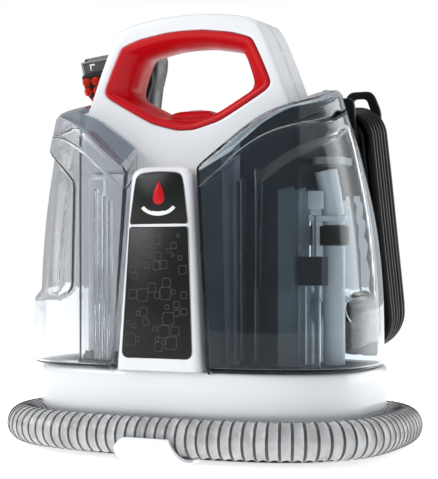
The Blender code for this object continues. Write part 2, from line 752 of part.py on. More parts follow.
def dirty_tank():
    tank = tank_shell("dirty_tank", 1, smoke())
    x, y = DIRTY_PORT
    cut(tank, turned("dirty_inlet", ((8.6, -4), (8.6, 6)), smoke(), centre=(x, y, TANK_BOTTOM), count=16))
    cut(tank, turned("drain_hole", ((9.0, -8), (9.0, 12)), smoke(), centre=DRAIN, axis=(0, 1, 0), count=16))
    tank_lid("dirty_tank_lid", 1, smoke())
    turned("separator_duct", ((8.2, TANK_BOTTOM - 3), (8.2, 206), (5.8, 206), (5.8, TANK_BOTTOM - 3)), grey(),
           centre=(x, y, 0), count=16, ring=True)
    block("separator_baffle", (x - 12, y - 16, 208), (x + 8, y + 16, 213), grey(), chamfer=4)
    low, high = FLOAT_Z
    half = FLOAT_HALF
    fx, fy = FLOAT_CENTRE
    box = block("float", (fx - half, fy - half, low), (fx + half, fy + half, high), float_white(),
                origin=(fx, fy, low), chamfer=2.5)
    cut(box, turned("float_bore", ((POST_THIN + 0.4, low - 5), (POST_THIN + 0.4, high + 5)), float_white(),
                    centre=(fx, fy, 0), count=12))
    post = ((POST_THICK, TANK_BOTTOM + WALL + GAP), (POST_THICK, low - GAP), (POST_THIN, low - GAP),
            (POST_THIN, high + FLOAT_TRAVEL + 4))
    turned("float_guide", post, clear_blue(), centre=(fx, fy, 0), count=12)
    turned("drain_plug", ((8.6, -5.0), (8.6, 0.6), (12.0, 0.6), (12.0, 3.0), (5.0, 4.6)), rubber(),
           centre=DRAIN, axis=(0, 1, 0), count=16)
    gasket = ((PORT_RADIUS, 52), (PORT_RADIUS, DECK_Z), (9.0, DECK_Z), (9.0, 52))
    turned("dirty_tank_gasket", gasket, rubber(), centre=(x, y, 0), count=18, ring=True)


# ---------------------------------------------------------------- inside the housing
def motor_set():
    """Vacuum motor on its mount, with the fan above it in its housing."""
    x, y = MOTOR
    centre = (x, y, 0)
    mount = ((30, DECK_Z + GAP), (30, 68), (22, 72), (22, 99.7), (13, 99.7), (13, DECK_Z + GAP))
    turned("motor_mount", mount, black(), centre=centre, count=24, ring=True)
    turned("vacuum_motor", ((20, 100), (26, 104), (26, 148), (12, 151), (2.9, 151), (2.9, 168)), steel(),
           centre=centre, count=24)
    scroll = ((36, 153.5), (36, 178), (10, 180), (10, 177.5), (33.5, 175.5), (33.5, 156), (14, 156),
              (14, 153.5))
    turned("fan_housing", scroll, black(), centre=centre, count=28, ring=True)
    count = 48
    blades = [30.0 if i % 6 < 2 else 11.0 for i in range(count)]

    def star(z):
        return [(x + r * math.cos(math.tau * i / count), y + r * math.sin(math.tau * i / count), z)
                for i, r in enumerate(blades)]
    disc = [circle(31, count, z, MOTOR) for z in (158, 159.5)]
    fan = loft("fan_impeller", disc + [star(160), star(172)],
               fan_aluminium(), origin=(x, y, 160))
    cut(fan, turned("shaft_bore", ((3.2, 150), (3.2, 180)), black(), centre=centre, count=16))
    turned("suction_duct", ((9.5, 0), (9.5, 38), (7.5, 38), (7.5, 0)), grey(), centre=(43.5, 12, 188),
           axis=(1, 0, 0), count=16, ring=True)


def pump_set():
    """Small piston pump low at the rear left."""
    turned("water_pump", ((11, 0), (13, 2), (13, 34), (4.3, 34), (4.3, 10), (0.8, 9), (0.8, 0)), grey(),
           centre=(-66, 44, 82), axis=(1, 0, 0), count=18, ring=True)
    turned("pump_piston", ((4.0, 14), (4.0, 36), (7, 37), (7, 39)), steel(), centre=(-66, 44, 82),
           axis=(1, 0, 0), count=14)
    block("pump_bracket", (-64, 34, DECK_Z + GAP), (-36, 54, 68.6), black())


# ---------------------------------------------------------------- hose
HOSE_ROUTE_START = ((4, 88, 148.6), (4, 91, 138), (4.5, 97, 118), (8, 102, 92), (18, 103, 62), (33, 102, 38),
                    (48, 99.5, 23))
HOSE_ROUTE_END = ((-131, 65, 19.5), (-122, 83, 27), (-109, 98, 40), (-97, 109, 58))


def hose_route():
    """From the port at the back, down, once round the base and up to the tool."""
    a = BASE_A + HOSE_OFFSET
    b = BASE_B + HOSE_OFFSET
    ring = []
    turns = 30
    first = math.radians(72)
    last = math.radians(-200)
    for i in range(turns + 1):
        angle = first + (last - first) * i / turns
        x, y = superellipse(a, b, BASE_POWER, angle)
        ring.append((x, y, HOSE_Z))
    return list(HOSE_ROUTE_START) + ring + list(HOSE_ROUTE_END)


def hose():
    axis = (TOOL_TOP - TOOL_FOOT).normalized()
    end = TOOL_FOOT - axis
    route = hose_route() + [tuple(end - axis * 18), tuple(end)]
    tube("hose", smooth_path(route, 15.0), HOSE_RADIUS, hose_grey(), sides=3)


def hose_port():
    """Elbow that turns the hose's machine end downwards."""
    route = [(4, 50, 168), (4, 58, 168), (4, 67, 168), (4, 77, 165.5), (4, 84, 159), (4, 87.6, 150)]
    tube("hose_port", smooth_path(route, 5.0), 15.8, black(), sides=4)


# ---------------------------------------------------------------- hand tool
def tool_frame():
    """Turns the tool's own millimetres (z up its axis, front at -y) into the machine's."""
    up = (TOOL_TOP - TOOL_FOOT).normalized()
    side = up.cross(Vector((1, 0, 0))).normalized()
    right = side.cross(up)
    turn = Matrix((right, side, up)).transposed().to_4x4()
    return Matrix.Translation(TOOL_FOOT) @ turn


def tool_loop(z, half_x, front, back, count=24, power=2.4):
    """Oval section of the tool between its front and back."""
    middle = (front + back) / 2
    depth = (back - front) / 2
    loop = []
    for i in range(count):
        x, y = superellipse(half_x, depth, power, math.tau * i / count)
        loop.append((x, middle + y, z))
    return loop


def hand_tool():
    turn = tool_frame()
    tip = (TOOL_TOP - TOOL_FOOT).length
    pivot = turn @ Vector((0, -12.5, 84))
    loft("tool_cuff", [tool_loop(0, 16.6, -16.6, 16.6, power=2), tool_loop(4, 17.6, -17.6, 17.6, power=2),
                       tool_loop(20, 17.0, -17.0, 17.0, power=2), tool_loop(28, 15.0, -15.0, 15.0, power=2)],
         black(), turn=turn)
    grip_loops = [tool_loop(28.3, 14, -14.5, 14.5), tool_loop(40, 15.5, -17, 16), tool_loop(70, 16, -19, 17),
                  tool_loop(100, 15.5, -18, 16), tool_loop(120, 16.5, -15, 15),
                  tool_loop(134, 15, -13.5, 13.5)]
    grip = loft("tool_grip", grip_loops, grey(), turn=turn)
    cut(grip, block("trigger_pocket", (-8, -40, 44), (8, -7, 90), grey(), turn=turn))
    cross = turn.to_3x3() @ Vector((1, 0, 0))
    cut(grip, turned("pin_bore", ((1.8, -20), (1.8, 20)), grey(), centre=pivot, axis=cross, count=10))
    section = [(-9.5, 87.5), (-17.0, 87.5), (-24.5, 70), (-25, 52), (-22, 46), (-15.5, 46), (-14.5, 56),
               (-14.5, 78), (-9.5, 81)]
    trigger = loft("tool_trigger", [[(x, y, z) for y, z in section] for x in (-7.4, 7.4)], red(),
                   origin=pivot, turn=turn)
    cut(trigger, turned("trigger_bore", ((1.75, -20), (1.75, 20)), red(), centre=pivot, axis=cross, count=10))
    turned("trigger_pin", ((1.45, -13), (1.45, 13)), steel(), centre=pivot, axis=cross, count=10)
    nozzle_loops = [tool_loop(134.3, 15, -13.5, 13.5), tool_loop(150, 16.5, -13, 15, power=3),
                    tool_loop(180, 25, -13, 17, power=4), tool_loop(200, 33.5, -12.5, 16, power=6),
                    tool_loop(tip, 35, -11, 12, power=6)]
    nozzle = loft("tool_nozzle", nozzle_loops, smoke(), turn=turn)
    cut(nozzle, block("mouth_slot", (-31, -6.5, 196), (31, 1.5, tip + 5), smoke(), turn=turn))
    plate = [(-8, 150), (8, 150), (32, 190), (33, 205), (-33, 205), (-32, 190)]
    loft("brush_block", [[(x, y, z) for x, z in plate] for y in (-20, -14.2)], black(), turn=turn)
    pad = [(-5, 153), (5, 153), (29, 191), (30, 203), (-30, 203), (-29, 191)]
    loft("bristle_pad", [[(x, y, z) for x, z in pad] for y in (-27, -20.3)], red(), turn=turn)


def tool_cradle():
    """Fork on the housing that the tool's grip snaps into."""
    turn = tool_frame()
    centre = turn @ Vector((0, 0, 94.3))
    inner, outer = 20.6, 24.0
    toward = math.atan2(48 - centre.y, -66 - centre.x)
    half = math.radians(100)
    steps = 14
    arc = [toward - half + 2 * half * i / steps for i in range(steps + 1)]
    plan = [(centre.x + inner * math.cos(t), centre.y + inner * math.sin(t)) for t in arc]
    plan += [(centre.x + outer * math.cos(t), centre.y + outer * math.sin(t)) for t in reversed(arc)]
    low, high = 188.0, 202.0
    fork = loft("tool_cradle", [[(x, y, z) for x, y in plan] for z in (low, high)], black())
    reach = Vector((math.cos(toward), math.sin(toward), 0))
    across = Vector((-reach.y, reach.x, 0))
    near = Vector((centre.x, centre.y, 0)) + reach * (inner + 1.5)
    far = near + reach * 40
    arm = [near + across * 8, near - across * 8, far - across * 8, far + across * 8]
    arm_loops = [[(p.x, p.y, z) for p in arm] for z in (low + 1, high - 1)]
    cut(fork, loft("cradle_arm", arm_loops, black()), 'UNION')
    cut(fork, loft("cradle_trim", [housing_loop(z, -GAP) for z in (150, 204.7)], black()))


# ---------------------------------------------------------------- cord storage
def hank_frame():
    """Leans the hank and its hooks forward with the back of the machine."""
    return Matrix.Translation(HANK_PIVOT) @ Matrix.Rotation(HANK_TILT, 4, 'X')


def stadium(inset, y, count=12):
    """Upright outline with round ends in the hank's own frame, wider at its foot."""
    tall = HANK_TOP - HANK_BOTTOM
    points = []
    for i in range(count + 1):
        angle = math.pi * i / count
        radius = HANK_TOP_HALF - inset
        points.append((radius * math.cos(angle), y, tall - HANK_TOP_HALF + radius * math.sin(angle)))
    for i in range(count + 1):
        angle = math.pi + math.pi * i / count
        radius = HANK_LOW_HALF - inset
        points.append((radius * math.cos(angle), y, HANK_LOW_HALF + radius * math.sin(angle)))
    return points


def cord_storage():
    turn = hank_frame()
    tall = HANK_TOP - HANK_BOTTOM
    outer = [stadium(0, y) for y in (0, HANK_THICK)]
    inner = [stadium(HANK_RING, y) for y in (HANK_THICK, 0)]
    loft("cord_hank", outer + inner, rubber(), ring=True, turn=turn)
    low = HANK_RING + 3.0
    profile = [(-44, low), (HANK_THICK + 1, low), (HANK_THICK + 1, -9), (HANK_THICK + 5, -9),
               (HANK_THICK + 5, low + 8), (-44, low + 8)]
    hook = loft("lower_cord_hook", [[(x, y, z) for y, z in profile] for x in (-8, 8)], black(), turn=turn)
    cut(hook, loft("lower_hook_trim", [housing_loop(z, -2 * GAP) for z in (DECK_Z, HOUSING_TOP)], black()))
    centre_z = tall - HANK_TOP_HALF
    base = block("upper_hook_base", (-13, -38, centre_z - 9), (13, -1.5, centre_z + 9), black(), turn=turn)
    flange = [(-12, centre_z), (12, centre_z), (11, tall + 5), (8, tall + 9), (-8, tall + 9), (-11, tall + 5)]
    faces = [[(x, y, z) for x, z in flange] for y in (-5.5, -1.6)]
    cut(base, loft("hook_flange", faces, black(), turn=turn), 'UNION')
    cut(base, loft("upper_base_trim", [cover_loop(z, -GAP) for z in (205.2, 250)], black()))
    pivot = turn @ Vector((0, -1.2, centre_z))
    arm = turned("upper_cord_hook", ((8, 0), (8, HANK_THICK + 3)), black(), centre=pivot,
                 axis=turn.to_3x3() @ Vector((0, 1, 0)), count=18)
    outline = [(-13, centre_z - 8), (13, centre_z - 8), (17, tall - 6), (12, tall + 8), (8, tall + 12),
               (-8, tall + 12), (-12, tall + 8), (-17, tall - 6)]
    faces = [[(x, y, z) for x, z in outline] for y in (HANK_THICK + 1, HANK_THICK + 5)]
    cut(arm, loft("hook_plate", faces, black(), turn=turn), 'UNION')
    window = [(-9, tall - 5), (9, tall - 5), (5.5, tall + 6), (-5.5, tall + 6)]
    cut(arm, loft("hook_window", [[(x, y, z) for x, z in window] for y in (30, 60)], black(), turn=turn))


LEAD_ROUTE = ((40, 91.9, 70), (40, 94, 70), (40, 97.4, 71), (40.2, 100.4, 75.5), (41.6, 102.4, 84),
              (43.8, 103, 96), (45.1, 102, 110), (45.3, 100.5, 120))
TAIL_ROUTE = ((45.3, 100, 132), (44.9, 99, 141), (41.5, 97.3, 150), (37, 95.4, 159), (36, 95, 165),
              (36, 95, 169.7))


def mains_cord():
    relief = ((5.2, -6), (5.2, 2.0), (8.5, 2.0), (8.5, 5), (4.6, 6), (4.2, 12.5))
    turned("cord_gland", relief, rubber(), centre=GLAND, axis=(0, 1, 0), count=14)
    tube("power_cord", smooth_path(LEAD_ROUTE, 4.0), CORD_RADIUS, rubber(), sides=2)
    tube("power_cord_tail", smooth_path(TAIL_ROUTE, 5.0), CORD_RADIUS, rubber(), sides=2)
    x, y, z = TAIL_ROUTE[-1]
    z += GAP
    section = [((-4, -4), z), ((-8.5, -7), z + 12), ((-8.5, -11), z + 26), ((-7.5, -10), z + 32)]
    corners = ((1, 1), (-1, 1), (-1, -1), (1, -1))
    loops = [[(x + a * i, y + b * j, h) for i, j in corners] for (a, b), h in section]
    plug = loft("plug", loops, rubber())
    for number, side in enumerate((-5.7, 5.7), 1):
        pin = turned(f"pin_{number}", ((2.0, 30), (2.0, 50), (1.2, 51)), brass(),
                     centre=(x, y + side, z), count=10)
        cut(plug, pin, 'UNION')


# ---------------------------------------------------------------- build everything
base_housing()
base_plate()
feet_and_screws()
hose_clip()
column()
panels()
main_housing()
top_cover()
handle_shells()
handle_liner()
power_button()
clean_tank()
dirty_tank()
motor_set()
pump_set()
hose_port()
hose()
hand_tool()
tool_cradle()
cord_storage()
mains_cord()
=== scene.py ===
import json
import math
import random

import bmesh
import bpy
from mathutils import Matrix, Vector

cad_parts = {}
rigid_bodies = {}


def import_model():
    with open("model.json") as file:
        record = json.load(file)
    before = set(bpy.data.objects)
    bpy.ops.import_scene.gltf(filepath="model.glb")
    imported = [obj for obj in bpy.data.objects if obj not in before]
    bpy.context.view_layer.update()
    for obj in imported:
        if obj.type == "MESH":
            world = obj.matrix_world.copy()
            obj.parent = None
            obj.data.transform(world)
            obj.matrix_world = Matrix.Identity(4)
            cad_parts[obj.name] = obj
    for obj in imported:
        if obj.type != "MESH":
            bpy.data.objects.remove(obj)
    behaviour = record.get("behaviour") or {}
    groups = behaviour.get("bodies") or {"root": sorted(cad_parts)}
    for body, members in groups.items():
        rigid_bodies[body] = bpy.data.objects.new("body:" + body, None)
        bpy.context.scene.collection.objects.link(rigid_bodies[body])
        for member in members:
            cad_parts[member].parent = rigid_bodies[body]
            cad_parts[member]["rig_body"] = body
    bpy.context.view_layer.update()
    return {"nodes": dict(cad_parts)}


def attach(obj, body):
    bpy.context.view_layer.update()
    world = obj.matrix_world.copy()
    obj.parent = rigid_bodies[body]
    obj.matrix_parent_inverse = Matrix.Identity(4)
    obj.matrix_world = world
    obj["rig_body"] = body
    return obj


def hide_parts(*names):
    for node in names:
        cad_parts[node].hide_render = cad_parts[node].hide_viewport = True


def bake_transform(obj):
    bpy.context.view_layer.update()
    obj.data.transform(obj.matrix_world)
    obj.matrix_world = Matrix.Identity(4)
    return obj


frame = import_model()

# Lengths are millimetres unless a comment says metres; MM turns them into metres.
MM = 0.001

# Driving sizes, as in the solid model
BASE_A, BASE_B, BASE_POWER = 130.0, 87.0, 3.0
DECK_Z = 61.5
GROOVE_TOP = 30.0
GROOVE_DEPTH = 4.0
TANK_LEVELS = (62.0, 120.0, 170.0, 220.0, 265.0)
TANK_A = (133.5, 132.5, 128.0, 118.5, 107.0)
TANK_FRONT = (-90.0, -89.0, -87.5, -85.5, -83.0)
TANK_REAR = (66.0, 65.0, 57.0, 45.0, 33.0)
TANK_POWER = 3.0
TANK_BACK_Y = 25.0
TANK_BOTTOM = 62.3
TANK_PEAK = 266.5
LID_BAND = 15.0
INNER_X, INNER_Y = 87.5, -47.8
WALL = 2.5
COLUMN_BOTTOM, COLUMN_TOP = 61.8, 206.0
COLUMN_BACK, COLUMN_BACK_HALF = -47.3, 38.0
HOUSING_TOP = 204.7
HANDLE_FRONT, HANDLE_SPLIT, HANDLE_BACK = -47.0, -24.0, -2.0
HANDLE_CENTRE_Z = 268.0
HANDLE_OUTLINE = ((0, 205), (70, 205), (82, 206), (85, 212), (86, 232), (84.5, 250), (81, 258),
                  (72.5, 280), (63.5, 301), (57, 310.8), (49, 314.4), (41, 316.2), (29, 318.2), (15, 319.4),
                  (0, 319.8))
LINER_OUTLINE = ((0, 235), (8, 235.4), (28, 241), (49.5, 252.4), (64, 260.8), (67.5, 265),
                 (66.6, 270), (61, 283), (54.5, 296.2), (51, 299.5), (37, 303.8), (15, 307), (0, 307.5))
THROAT_OUTLINE = ((0, 246.8), (10, 247), (22, 249.5), (38, 257.6), (47.5, 263.5), (49.4, 267.5),
                  (48.6, 272), (44.4, 284), (41, 289.6), (34, 292), (15, 295.4), (0, 296))
HOSE_RADIUS, HOSE_Z, HOSE_OFFSET = 14.0, 17.0, 11.5
TOOL_TOP = Vector((-110.0, 55.0, 313.5))
TOOL_FOOT = Vector((-90.0, 108.0, 103.5))
HANK_X, HANK_LOW_HALF, HANK_TOP_HALF = 82.0, 31.0, 23.0
HANK_BOTTOM, HANK_TOP, HANK_THICK, HANK_RING = 64.0, 259.0, 39.0, 13.5
HANK_TILT = math.radians(9.0)
HANK_PIVOT = Vector((HANK_X, 92.5, HANK_BOTTOM))
CORD_RADIUS = 3.25
CLIP_LEFT, CLIP_RIGHT, CLIP_REACH, CLIP_THICK = -22.0, 32.0, 14.7, 2.4
CLEAN_VALVE = (-104.0, -22.0)
DIRTY_PORT = (104.0, -14.0)
COLUMN_HALF_FOOT, COLUMN_HALF_TOP = 33.5, 23.5
COLUMN_FRONT_FOOT, COLUMN_FRONT_TOP = -91.0, -86.5
BADGE_TOP, BADGE_FOOT, BADGE_HALF_TOP, BADGE_HALF_FOOT = 202.0, 165.2, 18.8, 23.0
PANEL_TOP, PANEL_FOOT, PANEL_HALF_TOP, PANEL_HALF_FOOT = 163.2, 70.5, 23.1, 28.0
HOUSING_HALF, HOUSING_POWER, HOUSING_MIDDLE_Y = 85.0, 2.6, 16.0
HOUSING_REAR_FOOT, HOUSING_REAR_TOP = 84.0, 54.0
HOSE_PORT = (4.0, 62.0, 167.5)
CORD_EXIT = (40.0, 79.0, 70.0)
HOSE_PITCH = 7.7
CRADLE_PLACE, CRADLE_INNER, CRADLE_OUTER = 94.3, 20.7, 23.9
TUFT_SPACING, TUFT_RADIUS, FILAMENT_RADIUS = 7.6, 2.55, 0.47

# Routes of the free cords, in metres
HOSE_START = ((0.004, 0.088, 0.1486), (0.004, 0.091, 0.138), (0.0045, 0.097, 0.118), (0.008, 0.102, 0.092),
              (0.018, 0.103, 0.062), (0.033, 0.102, 0.038), (0.048, 0.0995, 0.023))
HOSE_END = ((-0.131, 0.065, 0.0195), (-0.122, 0.083, 0.027), (-0.109, 0.098, 0.040), (-0.097, 0.109, 0.058))
LEAD_ROUTE = ((0.040, 0.0919, 0.070), (0.040, 0.094, 0.070), (0.040, 0.0974, 0.071), (0.0402, 0.1004, 0.0755),
              (0.0416, 0.1024, 0.084), (0.0438, 0.103, 0.096), (0.0451, 0.102, 0.110),
              (0.0453, 0.1005, 0.120))
TAIL_ROUTE = ((0.0453, 0.100, 0.132), (0.0449, 0.099, 0.141), (0.0415, 0.0973, 0.150), (0.037, 0.0954, 0.159),
              (0.036, 0.095, 0.165), (0.036, 0.095, 0.1697))


# ---------------------------------------------------------------- camera, light, floor
def make_camera():
    """Low three-quarter view from the front right."""
    turn = math.radians(26.0)
    away = 1.044
    data = bpy.data.cameras.new("view_camera")
    data.lens = 102.96
    data.sensor_width = 36.0
    data.shift_x = 0.0125
    data.shift_y = 0.051
    camera = bpy.data.objects.new("view_camera", data)
    camera.location = (math.sin(turn) * away, -math.cos(turn) * away, 0.137)
    camera.rotation_euler = (math.pi / 2, 0.0, turn)
    bpy.context.scene.collection.objects.link(camera)
    bpy.context.scene.camera = camera


def area_light(name, place, target, size, energy):
    data = bpy.data.lights.new(name, 'AREA')
    data.shape = 'RECTANGLE'
    data.size, data.size_y = size
    data.energy = energy
    light = bpy.data.objects.new(name, data)
    light.location = place
    aim = Vector(target) - Vector(place)
    light.rotation_euler = aim.to_track_quat('-Z', 'Y').to_euler()
    bpy.context.scene.collection.objects.link(light)


def make_studio():
    """Pale floor, white surround and three soft lights."""
    bpy.context.scene.view_settings.view_transform = 'Standard'
    world = bpy.data.worlds.new("studio")
    bpy.context.scene.world = world
    world.use_nodes = True
    tree = world.node_tree
    background = tree.nodes["Background"]
    path = tree.nodes.new("ShaderNodeLightPath")
    mix = tree.nodes.new("ShaderNodeMix")
    mix.data_type = 'RGBA'
    mix.inputs[6].default_value = (0.46, 0.47, 0.485, 1.0)
    mix.inputs[7].default_value = (1.0, 1.0, 1.0, 1.0)
    tree.links.new(path.outputs["Is Camera Ray"], mix.inputs[0])
    tree.links.new(mix.outputs[2], background.inputs["Color"])
    background.inputs["Strength"].default_value = 1.0
    area_light("key_light", (-1.5, -1.3, 1.2), (0.0, 0.0, 0.15), (1.1, 1.1), 20.0)
    area_light("top_light", (-0.1, 0.2, 1.9), (0.0, 0.0, 0.1), (1.4, 1.4), 8.0)
    area_light("edge_light", (1.0, 1.15, 0.35), (0.05, 0.0, 0.15), (1.3, 1.0), 8.0)
    verts = [(-6, -6, 0), (6, -6, 0), (6, 6, 0), (-6, 6, 0)]
    mesh = bpy.data.meshes.new("floor")
    mesh.from_pydata(verts, [], [(0, 1, 2, 3)])
    floor = bpy.data.objects.new("floor", mesh)
    floor.location.z = -0.0004
    bpy.context.scene.collection.objects.link(floor)
    finish = bpy.data.materials.new("floor_paper")
    finish.use_nodes = True
    shader = finish.node_tree.nodes["Principled BSDF"]
    shader.inputs["Base Color"].default_value = (0.93, 0.93, 0.935, 1.0)
    shader.inputs["Roughness"].default_value = 0.6
    shader.inputs["Emission Color"].default_value = (1.0, 1.0, 1.0, 1.0)
    shader.inputs["Emission Strength"].default_value = 0.58
    mesh.materials.append(finish)


make_camera()
make_studio()


# ---------------------------------------------------------------- materials
MATERIALS = {}


def noise(tree, scale, detail=3.0, stretch=(1.0, 1.0, 1.0)):
    """Noise in object space, in metres, optionally stretched."""
    place = tree.nodes.new("ShaderNodeTexCoord")
    mapping = tree.nodes.new("ShaderNodeMapping")
    mapping.inputs["Scale"].default_value = stretch
    texture = tree.nodes.new("ShaderNodeTexNoise")
    texture.inputs["Scale"].default_value = scale
    texture.inputs["Detail"].default_value = detail
    tree.links.new(place.outputs["Object"], mapping.inputs["Vector"])
    tree.links.new(mapping.outputs["Vector"], texture.inputs["Vector"])
    return texture.outputs["Fac"]


def ramp(tree, source, low, high, start=0.35, end=0.65):
    """Map a 0..1 value to a range of colours or of greys."""
    node = tree.nodes.new("ShaderNodeValToRGB")
    node.color_ramp.elements[0].position = start
    node.color_ramp.elements[1].position = end
    node.color_ramp.elements[0].color = (*low, 1.0) if hasattr(low, "__len__") else (low, low, low, 1.0)
    node.color_ramp.elements[1].color = (*high, 1.0) if hasattr(high, "__len__") else (high, high, high, 1.0)
    tree.links.new(source, node.inputs["Fac"])
    return node.outputs["Color"]


def plastic(name, colour, rough=(0.18, 0.26), shade=0.04, grain=900.0, bump=0.03, metallic=0.0, coat=0.0,
            clear=0.0, ior=1.49, stretch=(1.0, 1.0, 1.0), blotch=14.0, shine=0.5):
    """Moulded plastic, metal or rubber: faint mottling, uneven gloss and a fine surface grain."""
    if name in MATERIALS:
        return MATERIALS[name]
    new = bpy.data.materials.new(name)
    new.use_nodes = True
    tree = new.node_tree
    shader = tree.nodes["Principled BSDF"]
    dark = tuple(c * (1 - shade) for c in colour)
    tree.links.new(ramp(tree, noise(tree, blotch, stretch=stretch), dark, colour),
                   shader.inputs["Base Color"])
    smudge = ramp(tree, noise(tree, blotch * 3.1, 5.0, stretch), rough[0], rough[1])
    tree.links.new(smudge, shader.inputs["Roughness"])
    height = tree.nodes.new("ShaderNodeBump")
    height.inputs["Strength"].default_value = bump
    height.inputs["Distance"].default_value = 0.0004
    tree.links.new(noise(tree, grain, 2.0, stretch), height.inputs["Height"])
    tree.links.new(height.outputs["Normal"], shader.inputs["Normal"])
    shader.inputs["Metallic"].default_value = metallic
    shader.inputs["Coat Weight"].default_value = coat
    shader.inputs["Coat Roughness"].default_value = 0.06
    shader.inputs["Transmission Weight"].default_value = clear
    shader.inputs["Specular IOR Level"].default_value = shine
    shader.inputs["IOR"].default_value = ior
    MATERIALS[name] = new
    return new


def white():
    return plastic("white_gloss_plastic", (0.86, 0.875, 0.895), (0.16, 0.24), 0.02, coat=0.3)


def red():
    return plastic("red_gloss_plastic", (0.58, 0.003, 0.008), (0.28, 0.38), 0.10, coat=0.06, shine=0.2)


def black():
    return plastic("black_satin_plastic", (0.003, 0.003, 0.0035), (0.34, 0.46), 0.2, bump=0.10, shine=0.2)


def gloss_black():
    return plastic("black_gloss_panel", (0.006, 0.0065, 0.006), (0.28, 0.36), 0.2, shine=0.28)


def rubber():
    return plastic("black_rubber", (0.022, 0.022, 0.023), (0.60, 0.78), 0.2, grain=1400.0, bump=0.2)


def cord_jacket():
    return plastic("cord_jacket", (0.0022, 0.0022, 0.0025), (0.30, 0.40), 0.2, grain=1600.0, bump=0.05,
                   shine=0.2)


def grey():
    return plastic("grey_plastic", (0.30, 0.32, 0.34), (0.28, 0.38), 0.08, bump=0.08)


def steel():
    return plastic("plated_steel", (0.58, 0.58, 0.60), (0.24, 0.38), 0.15, metallic=1.0, stretch=(1, 1, 9))


def aluminium():
    return plastic("cast_aluminium", (0.66, 0.67, 0.69), (0.30, 0.42), 0.15, metallic=1.0, bump=0.15)


def clear():
    return plastic("clear_blue_plastic", (0.955, 0.970, 0.985), (0.0, 0.02), 0.015, bump=0.003, clear=0.98,
                   ior=1.3)


def clear_slate():
    return plastic("clear_slate_plastic", (0.36, 0.44, 0.52), (0.03, 0.08), 0.06, bump=0.01, clear=0.85,
                   ior=1.45)


def smoke():
    return plastic("smoked_plastic", (0.79, 0.85, 0.885), (0.0, 0.02), 0.02, bump=0.003, clear=1.0, ior=1.3)


def slate():
    return plastic("dark_slate_plastic", (0.020, 0.029, 0.036), (0.40, 0.50), 0.3, bump=0.02, blotch=30.0,
                   shine=0.06)


# Lighter copy of the dark slate, used as painted highlight on the dirty tank's inner corner.
def slate_mid_painted_highlight():
    return plastic("mid_slate_painted_highlight", (0.085, 0.115, 0.135), (0.12, 0.2), 0.2, bump=0.02, blotch=30.0,
                   shine=0.3)


# Lighter copy of the dark slate, used as painted light on the dirty tank's lower inner walls.
def slate_light_painted_light():
    return plastic("light_slate_painted_light", (0.19, 0.225, 0.26), (0.12, 0.2), 0.15, bump=0.02, blotch=30.0,
                   shine=0.3)


def nozzle_grey():
    return plastic("nozzle_smoked_plastic", (0.055, 0.060, 0.063), (0.14, 0.22), 0.2, bump=0.02, clear=0.15,
                   shine=0.35)


def milky():
    return plastic("milky_white_plastic", (0.80, 0.83, 0.86), (0.10, 0.18), 0.05, bump=0.02)


# ---------------------------------------------------------------- mesh helpers
def new_piece(name, verts, faces, finishes, body, nodes=(), turn=None, marks=None, sharp=38.0,
              scale=MM):
    """Mesh object from points, smooth-shaded except at sharp edges, riding on a body."""
    mesh = bpy.data.meshes.new(name)
    bm = bmesh.new()
    made = [bm.verts.new((turn @ Vector(p) if turn is not None else Vector(p)) * scale) for p in verts]
    for number, face in enumerate(faces):
        if len(set(face)) < 3:
            continue
        skin = bm.faces.new([made[i] for i in face])
        skin.smooth = True
        if marks:
            skin.material_index = marks[number]
    bmesh.ops.recalc_face_normals(bm, faces=bm.faces)
    bm.to_mesh(mesh)
    bm.free()
    for finish in finishes:
        mesh.materials.append(finish)
    mesh.set_sharp_from_angle(angle=math.radians(sharp))
    obj = bpy.data.objects.new(name, mesh)
    bpy.context.scene.collection.objects.link(obj)
    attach(obj, body)
    if nodes:
        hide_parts(*nodes)
    return obj


def skin_of(loops, ring=False, caps=True, closed=True):
    """Points and faces that join equal-length loops in order."""
    count = len(loops[0])
    verts = [p for loop in loops for p in loop]
    faces = []
    rows = len(loops) if ring else len(loops) - 1
    span = count if closed else count - 1
    for row in range(rows):
        here = row * count
        there = ((row + 1) % len(loops)) * count
        for i in range(span):
            j = (i + 1) % count
            faces.append((here + i, here + j, there + j, there + i))
    if caps and not ring:
        faces.append(tuple(range(count)))
        faces.append(tuple(reversed(range(len(verts) - count, len(verts)))))
    return verts, faces


def loft(name, loops, finish, body, nodes=(), ring=False, turn=None, sharp=38.0):
    verts, faces = skin_of(loops, ring)
    return new_piece(name, verts, faces, [finish], body, nodes, turn, sharp=sharp)


def circle(radius, count, z):
    return [(radius * math.cos(math.tau * i / count), radius * math.sin(math.tau * i / count), z)
            for i in range(count)]


def along_axis(centre, axis):
    """Transform that stands z along an axis through a centre."""
    spin = Vector((0, 0, 1)).rotation_difference(Vector(axis).normalized()).to_matrix().to_4x4()
    return Matrix.Translation(Vector(centre)) @ spin


def turned(name, profile, finish, body, nodes=(), centre=(0, 0, 0), axis=(0, 0, 1), count=48,
           ring=False):
    """Turn (radius, height) pairs about an axis through a centre."""
    loops = [circle(r, count, h) for r, h in profile]
    return loft(name, loops, finish, body, nodes, ring, along_axis(centre, axis))


def superellipse(a, b, power, angle):
    c, s = math.cos(angle), math.sin(angle)
    return math.copysign(a * abs(c) ** (2 / power), c), math.copysign(b * abs(s) ** (2 / power), s)


def oval(a, b, z, count=180, power=BASE_POWER):
    return [(*superellipse(a, b, power, math.tau * i / count), z) for i in range(count)]


def through_four(p0, p1, p2, p3, t):
    """Catmull-Rom value between the middle two of four numbers or points."""
    return 0.5 * (2 * p1 + (p2 - p0) * t + (2 * p0 - 5 * p1 + 4 * p2 - p3) * t * t
                  + (3 * p1 - p0 - 3 * p2 + p3) * t ** 3)


